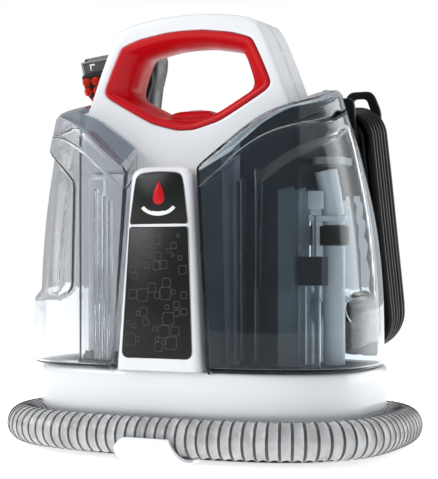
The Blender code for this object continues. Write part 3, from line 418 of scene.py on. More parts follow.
def between(levels, values, z):
    """Smooth interpolation in a small table of heights."""
    if z <= levels[0]:
        return values[0]
    for i in range(len(levels) - 1):
        if z <= levels[i + 1]:
            t = (z - levels[i]) / (levels[i + 1] - levels[i])
            return through_four(values[max(i - 1, 0)], values[i], values[i + 1],
                                values[min(i + 2, len(values) - 1)], t)
    return values[-1]


def smooth_path(route, step):
    """Points a step apart on a smooth curve through a route."""
    knots = [Vector(p) for p in route]
    ends = [knots[0] * 2 - knots[1]] + knots + [knots[-1] * 2 - knots[-2]]
    dense = []
    for i in range(1, len(ends) - 2):
        dense += [through_four(*ends[i - 1:i + 3], k / 24) for k in range(24)]
    dense.append(knots[-1])
    lengths = [0.0]
    for a, b in zip(dense, dense[1:]):
        lengths.append(lengths[-1] + (b - a).length)
    count = max(2, round(lengths[-1] / step))
    result = []
    k = 0
    for i in range(count + 1):
        want = lengths[-1] * i / count
        while k < len(lengths) - 2 and lengths[k + 1] < want:
            k += 1
        span = lengths[k + 1] - lengths[k]
        result.append(dense[k].lerp(dense[k + 1], (want - lengths[k]) / span if span else 0.0))
    return result


def frames_along(points):
    """A centre, side and up for each point of a path, turning as little as possible."""
    result = []
    side = None
    for i, point in enumerate(points):
        ahead = (points[min(i + 1, len(points) - 1)] - points[max(i - 1, 0)]).normalized()
        if side is None:
            side = ahead.orthogonal().normalized()
        side = (side - ahead * side.dot(ahead)).normalized()
        result.append((point, side, ahead.cross(side)))
    return result


def tube_loops(points, radius_at, count):
    loops = []
    turns = [math.tau * k / count for k in range(count)]
    for i, (centre, side, up) in enumerate(frames_along(points)):
        radius = radius_at(i)
        loops.append([centre + (side * math.cos(turn) + up * math.sin(turn)) * radius for turn in turns])
    return loops


def piece_from(bm, name, finish, body, nodes, turn):
    bm.verts.ensure_lookup_table()
    verts = [v.co.copy() for v in bm.verts]
    faces = [tuple(v.index for v in f.verts) for f in bm.faces]
    bm.free()
    return new_piece(name, verts, faces, [finish], body, nodes, turn)


def rounded_box(name, low, high, radius, finish, body, nodes=(), turn=None, segments=4):
    """Box with all its edges rounded."""
    bm = bmesh.new()
    bmesh.ops.create_cube(bm, size=1.0)
    for v in bm.verts:
        v.co = Vector([(low[k] + high[k]) / 2 + v.co[k] * (high[k] - low[k]) for k in range(3)])
    bmesh.ops.bevel(bm, geom=bm.edges[:], offset=radius, segments=segments, profile=0.5, affect='EDGES')
    return piece_from(bm, name, finish, body, nodes, turn)


def plate(name, outline, low, high, radius, finish, body, nodes=(), turn=None, axis='y',
          segments=3):
    """Flat plate cut to an outline, with rounded rims. The outline lies across the axis."""
    bm = bmesh.new()
    at = 'xyz'.index(axis)
    rows = [[bm.verts.new((*p[:at], depth, *p[at:])) for p in outline] for depth in (low, high)]
    for i in range(len(outline)):
        j = (i + 1) % len(outline)
        bm.faces.new((rows[0][i], rows[0][j], rows[1][j], rows[1][i]))
    caps = [bm.faces.new(rows[0]), bm.faces.new(list(reversed(rows[1])))]
    rims = [e for e in bm.edges if any(f in caps for f in e.link_faces)]
    bmesh.ops.recalc_face_normals(bm, faces=bm.faces)
    bmesh.ops.bevel(bm, geom=rims, offset=radius, segments=segments, profile=0.5, affect='EDGES')
    return piece_from(bm, name, finish, body, nodes, turn)


def rounded_outline(corners, steps=6):
    """Polygon whose corners, given as (x, y, radius), become smooth curves."""
    result = []
    count = len(corners)
    for i, (x, y, radius) in enumerate(corners):
        here = Vector((x, y))
        back = Vector(corners[i - 1][:2]) - here
        ahead = Vector(corners[(i + 1) % count][:2]) - here
        if radius <= 0:
            result.append(tuple(here))
            continue
        start = here + back.normalized() * min(radius, back.length * 0.49)
        end = here + ahead.normalized() * min(radius, ahead.length * 0.49)
        for k in range(steps + 1):
            t = k / steps
            point = start * (1 - t) ** 2 + here * 2 * t * (1 - t) + end * t * t
            result.append(tuple(point))
    return result


def solidify(obj, thickness):
    """Give a skin its wall, inwards."""
    wall = obj.modifiers.new("wall", 'SOLIDIFY')
    wall.thickness = thickness * MM
    wall.offset = -1.0
    wall.use_even_offset = False


def carve(obj, cutters):
    """Cut holes for good, and drop the cutting shapes."""
    for number, (verts, faces) in enumerate(cutters):
        mesh = bpy.data.meshes.new("cutter")
        mesh.from_pydata([tuple(Vector(v) * MM) for v in verts], [], faces)
        tool = bpy.data.objects.new("cutter", mesh)
        bpy.context.scene.collection.objects.link(tool)
        step = obj.modifiers.new(f"hole_{number}", 'BOOLEAN')
        step.operation = 'DIFFERENCE'
        step.solver = 'EXACT'
        step.object = tool
        graph = bpy.context.evaluated_depsgraph_get()
        cut_mesh = bpy.data.meshes.new_from_object(obj.evaluated_get(graph))
        obj.modifiers.remove(step)
        obj.data = cut_mesh
        bpy.data.objects.remove(tool)
    obj.data.set_sharp_from_angle(angle=math.radians(38))


def rod_shape(radius, low, high, centre, axis=(0, 0, 1)):
    """Round bar along an axis, as a cutting shape."""
    turn = along_axis(centre, axis)
    return skin_of([[turn @ Vector(p) for p in circle(radius, 40, h)] for h in (low, high)])


# ---------------------------------------------------------------- hose
def tool_frame():
    """Turns the tool's own millimetres (z up its axis, front at -y) into the machine's."""
    up = (TOOL_TOP - TOOL_FOOT).normalized()
    side = up.cross(Vector((1, 0, 0))).normalized()
    turn = Matrix((side.cross(up), side, up)).transposed().to_4x4()
    return Matrix.Translation(TOOL_FOOT) @ turn


def hose_route():
    """Route in metres: port, down the back, once round the base, up to the tool."""
    ring = []
    for i in range(31):
        angle = math.radians(72 + (-200 - 72) * i / 30)
        x, y = superellipse(BASE_A + HOSE_OFFSET, BASE_B + HOSE_OFFSET, BASE_POWER, angle)
        ring.append((x * MM, y * MM, HOSE_Z * MM))
    axis = (TOOL_TOP - TOOL_FOOT).normalized()
    end = TOOL_FOOT - axis
    return list(HOSE_START) + ring + list(HOSE_END) + [tuple((end - axis * 18) * MM), tuple(end * MM)]


def make_hose():
    """Clear corrugated hose: a dark ring on each pitch, a pale hollow band between."""
    profile = (12.75, 12.6, 12.6, 12.75, 13.0, 13.35, 13.95, 13.4)
    marks = (0, 0, 0, 0, 0, 1, 1, 0)
    points = smooth_path(hose_route(), HOSE_PITCH * MM / len(profile))
    loops = tube_loops(points, lambda i: profile[i % len(profile)] * MM, 44)
    verts, faces = skin_of(loops)
    tags = [marks[row % len(profile)] for row in range(len(loops) - 1) for _ in range(44)] + [1, 1]
    band = plastic("hose_clear_band", (0.88, 0.885, 0.89), (0.05, 0.14), 0.30, bump=0.05, clear=0.35, ior=1.4,
                   blotch=80.0)
    ring = plastic("hose_dark_ring", (0.07, 0.07, 0.075), (0.15, 0.25), 0.2, bump=0.04, clear=0.1)
    hose = new_piece("hose_corrugated", verts, faces, [band, ring], "machine", ["hose"],
                     marks=tags,
                     sharp=80.0, scale=1.0)
    hose.parent = None
    del hose["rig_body"]
    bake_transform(hose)


# ---------------------------------------------------------------- mains cord
def hank_frame():
    return Matrix.Translation(HANK_PIVOT) @ Matrix.Rotation(HANK_TILT, 4, 'X')


def wound(along, inset):
    """Point of one turn of cord, and the length of that turn. Starts low on the left side and climbs."""
    tall = HANK_TOP - HANK_BOTTOM
    low, high = HANK_LOW_HALF - inset, HANK_TOP_HALF - inset
    low_z, high_z = HANK_LOW_HALF, tall - HANK_TOP_HALF
    side = math.hypot(high_z - low_z, low - high)
    total = 2 * side + math.pi * (low + high)
    along = along % total
    if along < side:
        t = along / side
        return (-low + (low - high) * t, low_z + (high_z - low_z) * t), total
    along -= side
    if along < math.pi * high:
        angle = math.pi - along / high
        return (high * math.cos(angle), high_z + high * math.sin(angle)), total
    along -= math.pi * high
    if along < side:
        t = along / side
        return (high + (low - high) * t, high_z - (high_z - low_z) * t), total
    angle = -(along - side) / low
    return (low * math.cos(angle), low_z + low * math.sin(angle)), total


def cord_route():
    """Centre line in metres: gland, six turns inside, six turns outside, then the plug."""
    turn = hank_frame()
    rng = random.Random(7)
    rows = 6
    pitch = HANK_THICK / rows
    steps = 48
    points = []
    drift = [rng.uniform(-1.0, 1.0) for _ in range(2 * rows + 1)]
    for number in range(2 * rows):
        inner = number < rows
        inset = HANK_RING - CORD_RADIUS - 0.15 if inner else CORD_RADIUS
        row = number if inner else 2 * rows - 1 - number
        step_to = 1 if inner else -1
        if number in (rows - 1, 2 * rows - 1):
            step_to = 0
        for k in range(steps):
            share = k / steps
            _, total = wound(0.0, inset)
            (x, z), _ = wound(total * share, inset)
            late = max(0.0, (share - 0.72) / 0.28)
            y = pitch * (row + 0.5 + step_to * late * late * (3 - 2 * late))
            wave = drift[number] * math.sin(math.tau * share * 1.5 + number * 1.7)
            slack = 0.0 if inner else -0.5 * abs(math.sin(math.pi * share * 2 + number)) * abs(drift[number])
            points.append(turn @ Vector((x * (1 + slack / 30),
                                         min(max(y + wave * 0.55, 3.3), HANK_THICK - 3.3), z)))
    lead_in = [Vector((45.6, 95.0, 131.0)), Vector((47.4, 88.5, 142.0)), Vector((52.0, 82.5, 153.0))]
    lead_out = [turn @ Vector((-HANK_LOW_HALF + 2.6, 4.0, HANK_LOW_HALF + 1)), Vector((48.4, 96.5, 112.0)),
                Vector((46.4, 99.0, 122.0))]
    return ([Vector(p) for p in LEAD_ROUTE] + [p * MM for p in lead_in] + [p * MM for p in points[10:]]
            + [p * MM for p in lead_out] + [Vector(p) for p in TAIL_ROUTE])


def make_mains_cord():
    points = smooth_path(cord_route(), 0.0035)
    curve = bpy.data.curves.new("mains_cord", 'CURVE')
    curve.dimensions = '3D'
    curve.bevel_depth = CORD_RADIUS * MM
    curve.bevel_resolution = 4
    curve.use_fill_caps = True
    spline = curve.splines.new('POLY')
    spline.points.add(len(points) - 1)
    for spot, point in zip(spline.points, points):
        spot.co = (*point, 1.0)
    spline.use_smooth = True
    curve.materials.append(cord_jacket())
    cord = bpy.data.objects.new("mains_cord", curve)
    bpy.context.scene.collection.objects.link(cord)
    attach(cord, "machine")
    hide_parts("cord_hank", "power_cord", "power_cord_tail")
    plug = make_plug()


def make_plug():
    """Moulded plug, pins up, with a ribbed neck."""
    x, y, z = (c / MM for c in TAIL_ROUTE[-1])
    z += 0.3
    sections = [(3.9, 3.9, 0), (4.6, 4.4, 1.5), (4.4, 4.2, 3), (5.0, 4.8, 4.5), (4.8, 4.6, 6),
                (5.6, 5.6, 7.5),
                (7.6, 6.4, 11), (8.3, 9.5, 17), (8.3, 10.8, 24), (8.2, 10.8, 28), (7.8, 10.4, 30.6),
                (7.0, 9.6, 31.8),
                (6.0, 8.6, 32.2)]
    loops = [[(x + px, y + py, z + h) for px, py, _ in oval(a, b, 0, 48, 3.0)] for a, b, h in sections]
    body = loft("mains_plug", loops, cord_jacket(), "machine", ["plug"])
    for number, side in enumerate((-5.7, 5.7), 1):
        pin = turned(f"plug_pin_{number}", ((2.0, 31), (2.0, 50), (1.7, 51.2), (1.0, 51.8)), steel(),
                     "machine",
                     centre=(x, y + side, z), count=24)
        pin.parent = body
    return body


make_hose()
make_mains_cord()


# ---------------------------------------------------------------- base
def make_base():
    profile = [(3.4, 5.2), (4.6, 4.2), (GROOVE_TOP - 5, GROOVE_DEPTH), (GROOVE_TOP - 2, 3.4),
               (GROOVE_TOP - 0.4, 1.6),
               (GROOVE_TOP + 1.4, 0.5), (GROOVE_TOP + 3.6, 0.05), (38, 0), (50, 0), (57.5, 0.0), (59.4, 0.3),
               (60.7, 1.1), (61.4, 2.2), (DECK_Z, 3.6)]
    loops = [oval(BASE_A - inset, BASE_B - inset, z) for z, inset in profile]
    base = loft("base_shell", loops, white(), "machine", ["base_housing"], sharp=50.0)
    carve(base, [rod_shape(14.3, 50, 70, (*CLEAN_VALVE, 0)), rod_shape(14.3, 50, 70, (*DIRTY_PORT, 0))])
    line = [oval(BASE_A - 3.4 + out, BASE_B - 3.4 + out, z) for z, out in
            ((26.6, 0), (26.6, 0.5), (27.4, 0.5), (27.4, 0))]
    loft("base_parting_line", line, grey(), "machine", ring=True)


def make_clip():
    """Curved tab that holds the hose against the base, slanted at its right end."""
    centre_y = -(BASE_B + HOSE_OFFSET)
    loops = []
    columns = 36
    for c in range(columns + 1):
        u = c / columns
        loop = []
        left_round = max(0.0, 1 - u * columns / 7.0)
        right_slant = max(0.0, (u - 0.70) / 0.30)
        for k in range(25):
            top = k / 24
            x = CLIP_LEFT + (CLIP_RIGHT - CLIP_LEFT) * u - 10.0 * right_slant * top ** 1.1
            angle = math.radians(-98 + 100 * top * (1 - 0.30 * left_round ** 2 * top))
            loop.append((x, centre_y - CLIP_REACH * math.cos(angle), HOSE_Z + CLIP_REACH * math.sin(angle)))
        loops.append(loop)
    verts, faces = skin_of(loops, caps=False, closed=False)
    clip = new_piece("hose_clip_tab", verts, faces, [white()], "machine", ["hose_clip"],
                     sharp=60)
    wall = clip.modifiers.new("wall", 'SOLIDIFY')
    wall.thickness = CLIP_THICK * MM
    wall.offset = 1.0
    edge = clip.modifiers.new("edge", 'BEVEL')
    edge.width = 0.9 * MM
    edge.segments = 3
    edge.limit_method = 'ANGLE'
    edge.angle_limit = math.radians(50)
    inner_y = -(BASE_B - GROOVE_DEPTH - 0.8)
    foot = [(inner_y, 0.7), (centre_y - 1, 0.7), (centre_y - 1, 2.3), (inner_y, 2.3)]
    plate("hose_clip_foot", foot, CLIP_LEFT + 1, CLIP_RIGHT - 1, 0.5, white(), "machine",
          axis='x')


# ---------------------------------------------------------------- column
def column_half(z):
    rise = COLUMN_HALF_TOP - COLUMN_HALF_FOOT
    return COLUMN_HALF_FOOT + rise * (z - COLUMN_BOTTOM) / (COLUMN_TOP - COLUMN_BOTTOM)


def column_front(z):
    lean = COLUMN_FRONT_TOP - COLUMN_FRONT_FOOT
    return COLUMN_FRONT_FOOT + lean * (z - COLUMN_BOTTOM) / (COLUMN_TOP - COLUMN_BOTTOM)


def column_loop(z, inset=0.0, back=0.0):
    half = column_half(z) - inset
    front = column_front(z) + back
    corners = [(-COLUMN_BACK_HALF, COLUMN_BACK, 0), (COLUMN_BACK_HALF, COLUMN_BACK, 0), (half, front + 12, 6),
               (half, front, 6.5), (0, front - 0.25, 20), (-half, front, 6.5), (-half, front + 12, 6)]
    return [(x, y, z) for x, y in rounded_outline(corners, 8)]


def badge_corners(grow):
    top, foot = BADGE_TOP + grow, BADGE_FOOT - grow
    half_top, half_foot = BADGE_HALF_TOP + grow, BADGE_HALF_FOOT + grow
    right = [(half_foot, foot, 2.5), (half_top + 0.6, top - 9, 4), (half_top - 1.2, top - 1.2, 7)]
    return right + [(0, top + 0.3, 22)] + [(-x, z, radius) for x, z, radius in reversed(right)]


def panel_corners(grow):
    top, foot = PANEL_TOP + grow, PANEL_FOOT - grow
    half_top, half_foot = PANEL_HALF_TOP + grow, PANEL_HALF_FOOT + grow
    return [(half_foot, foot, 6), (half_top, top, 2.5), (-half_top, top, 2.5), (-half_foot, foot, 6)]


def on_column(name, corners, outer, inner, finish, nodes=()):
    """Thin piece that follows the leaning front of the column."""
    outline = rounded_outline(corners, 8)
    middle = sum(z for _, z in outline) / len(outline)
    loops = []
    for depth, pull in ((inner, 0.0), (outer + 0.3, 0.0), (outer, 0.35)):
        loop = []
        for x, z in outline:
            x2 = x - math.copysign(min(pull, abs(x)), x)
            z2 = z + (pull if z < middle else -pull)
            loop.append((x2, column_front(z2) + depth, z2))
        loops.append(loop)
    return loft(name, loops, finish, "machine", nodes)


def make_column():
    loops = [column_loop(z) for z in (COLUMN_BOTTOM, 63, 80, 100, 120, 140, 160, 180, 192, 198)]
    for k in range(1, 9):
        t = math.pi / 2 * k / 8
        loops.append(column_loop(198 + 8 * math.sin(t), 7 * (1 - math.cos(t)), 7 * (1 - math.cos(t))))
    loft("column_shell", loops, white(), "machine", ["front_column"], sharp=50)
    # Thin grey rings almost flush with the column round each panel: painted shade of the gap between panel
    # and column.
    on_column("badge_gap_painted_shade", badge_corners(0.55), -0.10, 1.2, grey())
    on_column("panel_gap_painted_shade", panel_corners(0.55), -0.10, 1.2, grey())
    on_column("badge_face", badge_corners(0.0), -0.55, 1.5, gloss_black(), ["badge_panel"])
    on_column("pattern_face", panel_corners(0.0), -0.55, 1.5, gloss_black(), ["pattern_panel"])
    make_emblem()
    make_pattern()


def make_emblem():
    """Generic water drop with a ripple under it."""
    drop = []
    for k in range(48):
        t = math.tau * k / 48
        x = 6.6 * math.sin(t) * (math.sin(t / 2) ** 1.6)
        z = 187.5 + 8.6 * math.cos(t)
        drop.append((x, z, 0))
    on_column("emblem_drop", drop, -0.85, 0.0, red())
    ripple = []
    for k in range(25):
        angle = math.radians(208 + 124 * k / 24)
        ripple.append((15.5 * math.cos(angle), 181.5 + 10.5 * math.sin(angle), 0))
    for k in range(25):
        angle = math.radians(332 - 124 * k / 24)
        ripple.append((12.9 * math.cos(angle), 181.8 + 8.2 * math.sin(angle), 0))
    on_column("emblem_ripple", ripple, -0.85, 0.0, white())


def make_pattern():
    """Faint outlines of rounded squares of several sizes, scattered over the lower panel."""
    rng = random.Random(21)
    faint = plastic("panel_outline", (0.060, 0.062, 0.062), (0.3, 0.4), 0.2, bump=0.05)
    made = []
    verts, faces = [], []
    tries = 0
    while len(made) < 46 and tries < 1500:
        tries += 1
        z = rng.uniform(76, 158)
        half = PANEL_HALF_FOOT + (PANEL_HALF_TOP - PANEL_HALF_FOOT) * (z - PANEL_FOOT) / 92.7
        size = rng.choice((1.5, 2.2, 3.0, 4.0)) * (0.8 if z > 130 else 1.15)
        x = rng.uniform(-half + size + 1.5, half - size - 1.5)
        if any(max(abs(x - a), abs(z - b)) < (size + c) * 0.72 for a, b, c in made):
            continue
        made.append((x, z, size))
        base = len(verts)
        count = 32
        for k in range(count):
            angle = math.tau * k / count
            ux, uz = superellipse(1.0, 1.0, 5.0, angle)
            for r, depth in ((size, -0.54), (size - 0.1, -0.66), (size - 0.34, -0.66), (size - 0.44, -0.54)):
                px, pz = x + r * ux, z + r * uz
                verts.append((px, column_front(pz) + depth, pz))
        for k in range(count):
            a, b = base + 4 * k, base + 4 * ((k + 1) % count)
            for m in range(4):
                n = (m + 1) % 4
                faces.append((a + m, b + m, b + n, a + n))
    new_piece("panel_squares", verts, faces, [faint], "machine")


# ---------------------------------------------------------------- housing behind the tanks
def straight(levels, values, z):
    t = min(1.0, max(0.0, (z - levels[0]) / (levels[1] - levels[0])))
    return values[0] + (values[1] - values[0]) * t


def housing_rear(z):
    return straight((DECK_Z, HOUSING_TOP), (HOUSING_REAR_FOOT, HOUSING_REAR_TOP), z)


def on_back(x, rear):
    """Where the housing's back stands at one x, given how far back it reaches."""
    share = (1 - (abs(x) / HOUSING_HALF) ** HOUSING_POWER) ** (1 / HOUSING_POWER)
    return HOUSING_MIDDLE_Y + (rear - HOUSING_MIDDLE_Y) * share


def mirrored(right, z):
    """Closed loop at one height from its right half."""
    return [(x, y, z) for x, y in right + [(-x, y) for x, y in reversed(right)]]


def housing_loop(z, inset=0.0):
    half = HOUSING_HALF - inset
    rear = housing_rear(z) - inset
    front = -46.7 + inset
    right = [(half - 8, front), (half - 5, front + 0.5), (half - 2.3, front + 2.3), (half - 0.5, front + 5),
             (half, front + 8), (half, -16), (half, 4)]
    for i in range(41):
        x, y = superellipse(half, rear - HOUSING_MIDDLE_Y, HOUSING_POWER, math.pi / 2 * i / 40.5)
        right.append((x, HOUSING_MIDDLE_Y + y))
    return mirrored(right, z)


def cover_loop(z, inset=0.0):
    half = 83.0 - inset
    rear = straight((204, 250), (52.0, 42.0), z) - inset
    right = [(half, -1.4), (half, 3)]
    for i in range(41):
        x, y = superellipse(half, rear - 6, HOUSING_POWER, math.pi / 2 * i / 40.5)
        right.append((x, 6 + y))
    return mirrored(right, z)


def make_housing():
    heights = [61.8, 62.6, 90, 120, 150, 180, 200, 203.5, HOUSING_TOP]
    insets = [0.6, 0.0, 0.0, 0.0, 0.0, 0.0, 0.0, 0.5, 1.6]
    loops = [housing_loop(z, inset) for z, inset in zip(heights, insets)]
    inner = [housing_loop(z, WALL) for z in (HOUSING_TOP, 180, 120, 61.8)]
    shell = loft("housing_shell", loops + inner, white(), "machine", ["main_housing"],
                 ring=True,
                 sharp=50)
    carve(shell, [rod_shape(17.5, -20, 20, HOSE_PORT, (0, 1, 0)),
                  rod_shape(5.4, -16, 16, CORD_EXIT, (0, 1, 0))])
    top = [(205.2, 1.4), (206.2, 0.3), (208, 0), (222, 0), (234, 0), (239, 1.0), (243, 4.0), (245.8, 9.0),
           (247.2, 16.0), (247.6, 26.0)]
    loft("cover_shell", [cover_loop(z, inset) for z, inset in top], white(), "machine",
         ["top_cover"],
         sharp=50)
    make_vents()


def make_vents():
    """Louvres for the motor's air, low on one side of the back, and two screws near the foot."""
    foot, tall = 96.0, 34.0
    for number in range(9):
        x = -58.0 + number * 6.0
        y = on_back(x, housing_rear(foot))
        lean = math.atan2(y - on_back(x, housing_rear(foot + tall)), tall)
        turn = Matrix.Translation(Vector((x, y, foot))) @ Matrix.Rotation(lean, 4, 'X')
        rounded_box(f"vent_louvre_{number + 1}", (-1.5, -1.2, 0), (1.5, 1.2, tall), 0.7, grey(), "machine",
                    turn=turn, segments=3)
    head = ((3.2, -1.5), (3.2, 0.5), (2.8, 0.9), (1.2, 0.9), (1.0, 0.2))
    for number, x in enumerate((-72.0, 72.0), 1):
        turned(f"housing_screw_{number}", head, steel(), "machine", centre=(x, on_back(x, 82.0), 72),
               axis=(x * 0.012, 1, 0.2), count=28)


# ---------------------------------------------------------------- handle
def smooth_outline(outline):
    """Mirror a half outline, and run a smooth closed curve through it."""
    right = [Vector(p) for p in outline]
    full = right + [Vector((-p.x, p.y)) for p in reversed(right) if p.x > 0]
    count = len(full)
    result = []
    for i in range(count):
        p0, p1, p2, p3 = (full[(i + k) % count] for k in (-1, 0, 1, 2))
        for k in range(8):
            t = k / 8
            tension = 0.62
            m1 = (p2 - p0) * 0.5 * tension
            m2 = (p3 - p1) * 0.5 * tension
            a, b = 2 * t ** 3 - 3 * t * t + 1, t ** 3 - 2 * t * t + t
            c, d = -2 * t ** 3 + 3 * t * t, t ** 3 - t * t
            result.append(p1 * a + m1 * b + p2 * c + m2 * d)
    return result


OUTLINES = {}


def polar(outline, offset, count=200):
    """Sample a smooth outline along rays from the handle's centre, and grow it."""
    if outline not in OUTLINES:
        full = smooth_outline(outline)
        points = []
        for i in range(count):
            angle = math.tau * (i + 0.5) / count
            dx, dz = math.cos(angle), math.sin(angle)
            best = 0.0
            for p, q in zip(full, full[1:] + full[:1]):
                ex, ez = q.x - p.x, q.y - p.y
                det = dx * -ez + ex * dz
                if abs(det) < 1e-9:
                    continue
                rx, rz = p.x, p.y - HANDLE_CENTRE_Z
                reach = (rx * -ez + ex * rz) / det
                along = (dx * rz - dz * rx) / det
                if -1e-9 <= along <= 1 + 1e-9 and reach > best:
                    best = reach
            points.append((dx * best, HANDLE_CENTRE_Z + dz * best))
        OUTLINES[outline] = points
    points = OUTLINES[outline]
    grown = []
    for i, (x, z) in enumerate(points):
        (xa, za), (xb, zb) = points[i - 3], points[(i + 3) % count]
        nx, nz = zb - za, xa - xb
        size = math.hypot(nx, nz)
        grown.append((x + nx / size * offset, z + nz / size * offset))
    return grown


def handle_piece(name, rings, finish, nodes):
    loops = [[(x, y, z) for x, z in polar(outline, offset)] for outline, offset, y in rings]
    return loft(name, loops, finish, "machine", nodes, ring=True, sharp=45)


def make_handle():
    """Front and rear half shells with soft outer edges, and a fine seam between."""
    outer = HANDLE_OUTLINE
    inner = LINER_OUTLINE
    arc = [(1 - math.sin(math.pi / 2 * k / 10), 1 - math.cos(math.pi / 2 * k / 10)) for k in range(11)]
    front = [(inner, 0.0, HANDLE_FRONT + 1.6), (inner, 0.3, HANDLE_FRONT + 0.7),
             (inner, 0.9, HANDLE_FRONT + 0.15),
             (inner, 1.8, HANDLE_FRONT), (inner, 3.2, HANDLE_FRONT - 0.15)]
    front += [(outer, -3.2 * a - 0.1, HANDLE_FRONT + 0.1 + 4.5 * b) for a, b in arc]
    front += [(outer, 0.0, -30.0), (outer, 0.0, HANDLE_SPLIT - 0.5), (outer, -0.35, HANDLE_SPLIT - 0.15),
              (outer, -WALL, HANDLE_SPLIT - 0.15), (outer, -WALL, HANDLE_FRONT + 12),
              (inner, WALL, HANDLE_FRONT + 5),
              (inner, WALL, HANDLE_SPLIT - 0.15), (inner, 0.0, HANDLE_SPLIT - 0.15)]
    handle_piece("handle_front", front, white(), ["handle_front_shell"])
    back = [(inner, 0.0, HANDLE_SPLIT + 0.15), (inner, 0.0, HANDLE_BACK - 1.4),
            (inner, 0.5, HANDLE_BACK - 0.3),
            (inner, 1.6, HANDLE_BACK)]
    back += [(outer, -4.0 * a - 0.1, HANDLE_BACK - 0.1 - 5.0 * b) for a, b in arc]
    back += [(outer, 0.0, HANDLE_SPLIT + 0.5), (outer, -0.35, HANDLE_SPLIT + 0.15),
             (outer, -WALL, HANDLE_SPLIT + 0.15),
             (outer, -WALL, HANDLE_BACK - 11), (inner, WALL, HANDLE_BACK - 5),
             (inner, WALL, HANDLE_SPLIT + 0.15)]
    handle_piece("handle_rear", back, white(), ["handle_rear_shell"])
    throat = THROAT_OUTLINE
    rings = [(inner, -0.4, HANDLE_BACK + 0.2), (inner, -0.4, HANDLE_FRONT + 0.1),
             (inner, -0.7, HANDLE_FRONT - 0.3),
             (inner, -1.4, HANDLE_FRONT - 0.5), (inner, -2.6, HANDLE_FRONT - 0.45),
             (inner, -3.8, HANDLE_FRONT + 0.1),
             (inner, -6.0, HANDLE_FRONT + 1.9), (throat, 3.6, -40.5), (throat, 1.2, -35.5),
             (throat, 0.3, -31),
             (throat, 0.0, -27), (throat, 0.15, -23), (throat, 0.9, -18), (throat, 2.6, -12),
             (throat, 5.0, -7.0),
             (inner, -5.0, HANDLE_BACK - 2.2), (inner, -3.2, HANDLE_BACK - 0.4),
             (inner, -1.6, HANDLE_BACK + 0.4)]
    liner = handle_piece("liner_ring", rings, red(), ["handle_liner"])
    pocket = skin_of([[(x, y, z) for x, z in ((-16.6, 238.2), (16.6, 238.2), (16.6, 262), (-16.6, 262))]
                      for y in (-38.1, -19.9)])
    carve(liner, [pocket])
    make_button()


def make_button():
    """Push button on the floor of the hand opening, slightly crowned."""
    loops = []
    for k in range(9):
        t = k / 8
        y = -37.4 + 16.8 * t
        edge = math.sin(math.pi * t) ** 0.35
        loop = []
        for m in range(25):
            u = -1 + 2 * m / 24
            x = 15.8 * u
            z = 247.4 + 3.1 * edge * (1 - abs(u) ** 6 * 0.55)
            loop.append((x, y, z))
        for m in range(25):
            u = 1 - 2 * m / 24
            loop.append((15.8 * u, y, 242.2))
        loops.append(loop)
    loft("button_cap", loops, red(), "power_button", ["power_button"])
    line = [(-5.5, 0), (5.5, 0), (5.5, 0.9), (-5.5, 0.9)]
    plate("button_mark", [(x, z + 250.35) for x, z in line], -30.2, -27.8, 0.2, white(), "power_button")


# ---------------------------------------------------------------- tanks
EDGE_STEPS = (0.0, 0.4, 1.2, 2.5, 4.2)


def softened(count, length):
    """Shares 0..1 with extra stations near both ends."""
    start = [d / length for d in EDGE_STEPS]
    middle = [start[-1] + (1 - 2 * start[-1]) * k / count for k in range(1, count)]
    return start + middle + [1 - d for d in reversed(start)]


ALONG = softened(84, 195.0)
ACROSS = softened(10, 40.0)


def shoulder(x, y):
    slope = 208.5 + 0.745 * (abs(x) - 32.0) + 0.26 * (y + 84.0) - 0.0096 * max(0.0, abs(x) - 60.0) ** 2
    softness = 3.0
    return TANK_PEAK - softness * math.log1p(math.exp((TANK_PEAK - slope) / softness))


def seam_height(x, y):
    return shoulder(x, y) - LID_BAND


def step_up(value, low, high):
    t = min(1.0, max(0.0, (value - low) / (high - low)))
    return t * t * (3 - 2 * t)


def recess(x, y, z):
    """Depth of the finger grip at the outer front corner of a tank."""
    top = shoulder(x, y) - 32.0 + 0.45 * (abs(x) - 96.0)
    corner = 0.35 * max(0.0, 90.0 - abs(x))
    return (5.0 * step_up(z, 111.0 + corner, 118.5 + corner) * step_up(top - z, 0.0, 7.0) * step_up(abs(x),
                                                                                                    73.0,
                                                                                                    82.0)
            * step_up(-y, 6.0, 24.0))


def outer_chain(share, z, inset):
    a = between(TANK_LEVELS, TANK_A, z) - inset
    front = between(TANK_LEVELS, TANK_FRONT, z)
    rear = between(TANK_LEVELS, TANK_REAR, z)
    middle = (front + rear) / 2
    b = (rear - front) / 2 - inset
    start = -math.acos(((column_half(z) + 3.2 + inset) / a) ** (TANK_POWER / 2))
    end = math.asin(min(0.97, (TANK_BACK_Y - inset - middle) / b) ** (TANK_POWER / 2))
    x, y = superellipse(a, b, TANK_POWER, start + (end - start) * share)
    return Vector((x, y + middle))


def inner_chain(share, inset):
    near, corner_x, corner_y = 38.9 + inset, INNER_X + inset, INNER_Y - inset
    round_off = 2.5
    if share < 0.43:
        return Vector((near + (corner_x - round_off - near) * share / 0.43, corner_y))
    if share < 0.5:
        angle = math.pi / 2 * (share - 0.43) / 0.07
        return Vector((corner_x - round_off + round_off * math.sin(angle),
                       corner_y + round_off * (1 - math.cos(angle))))
    y0 = corner_y + round_off
    return Vector((corner_x, y0 + (TANK_BACK_Y - inset - y0) * (share - 0.5) / 0.5))


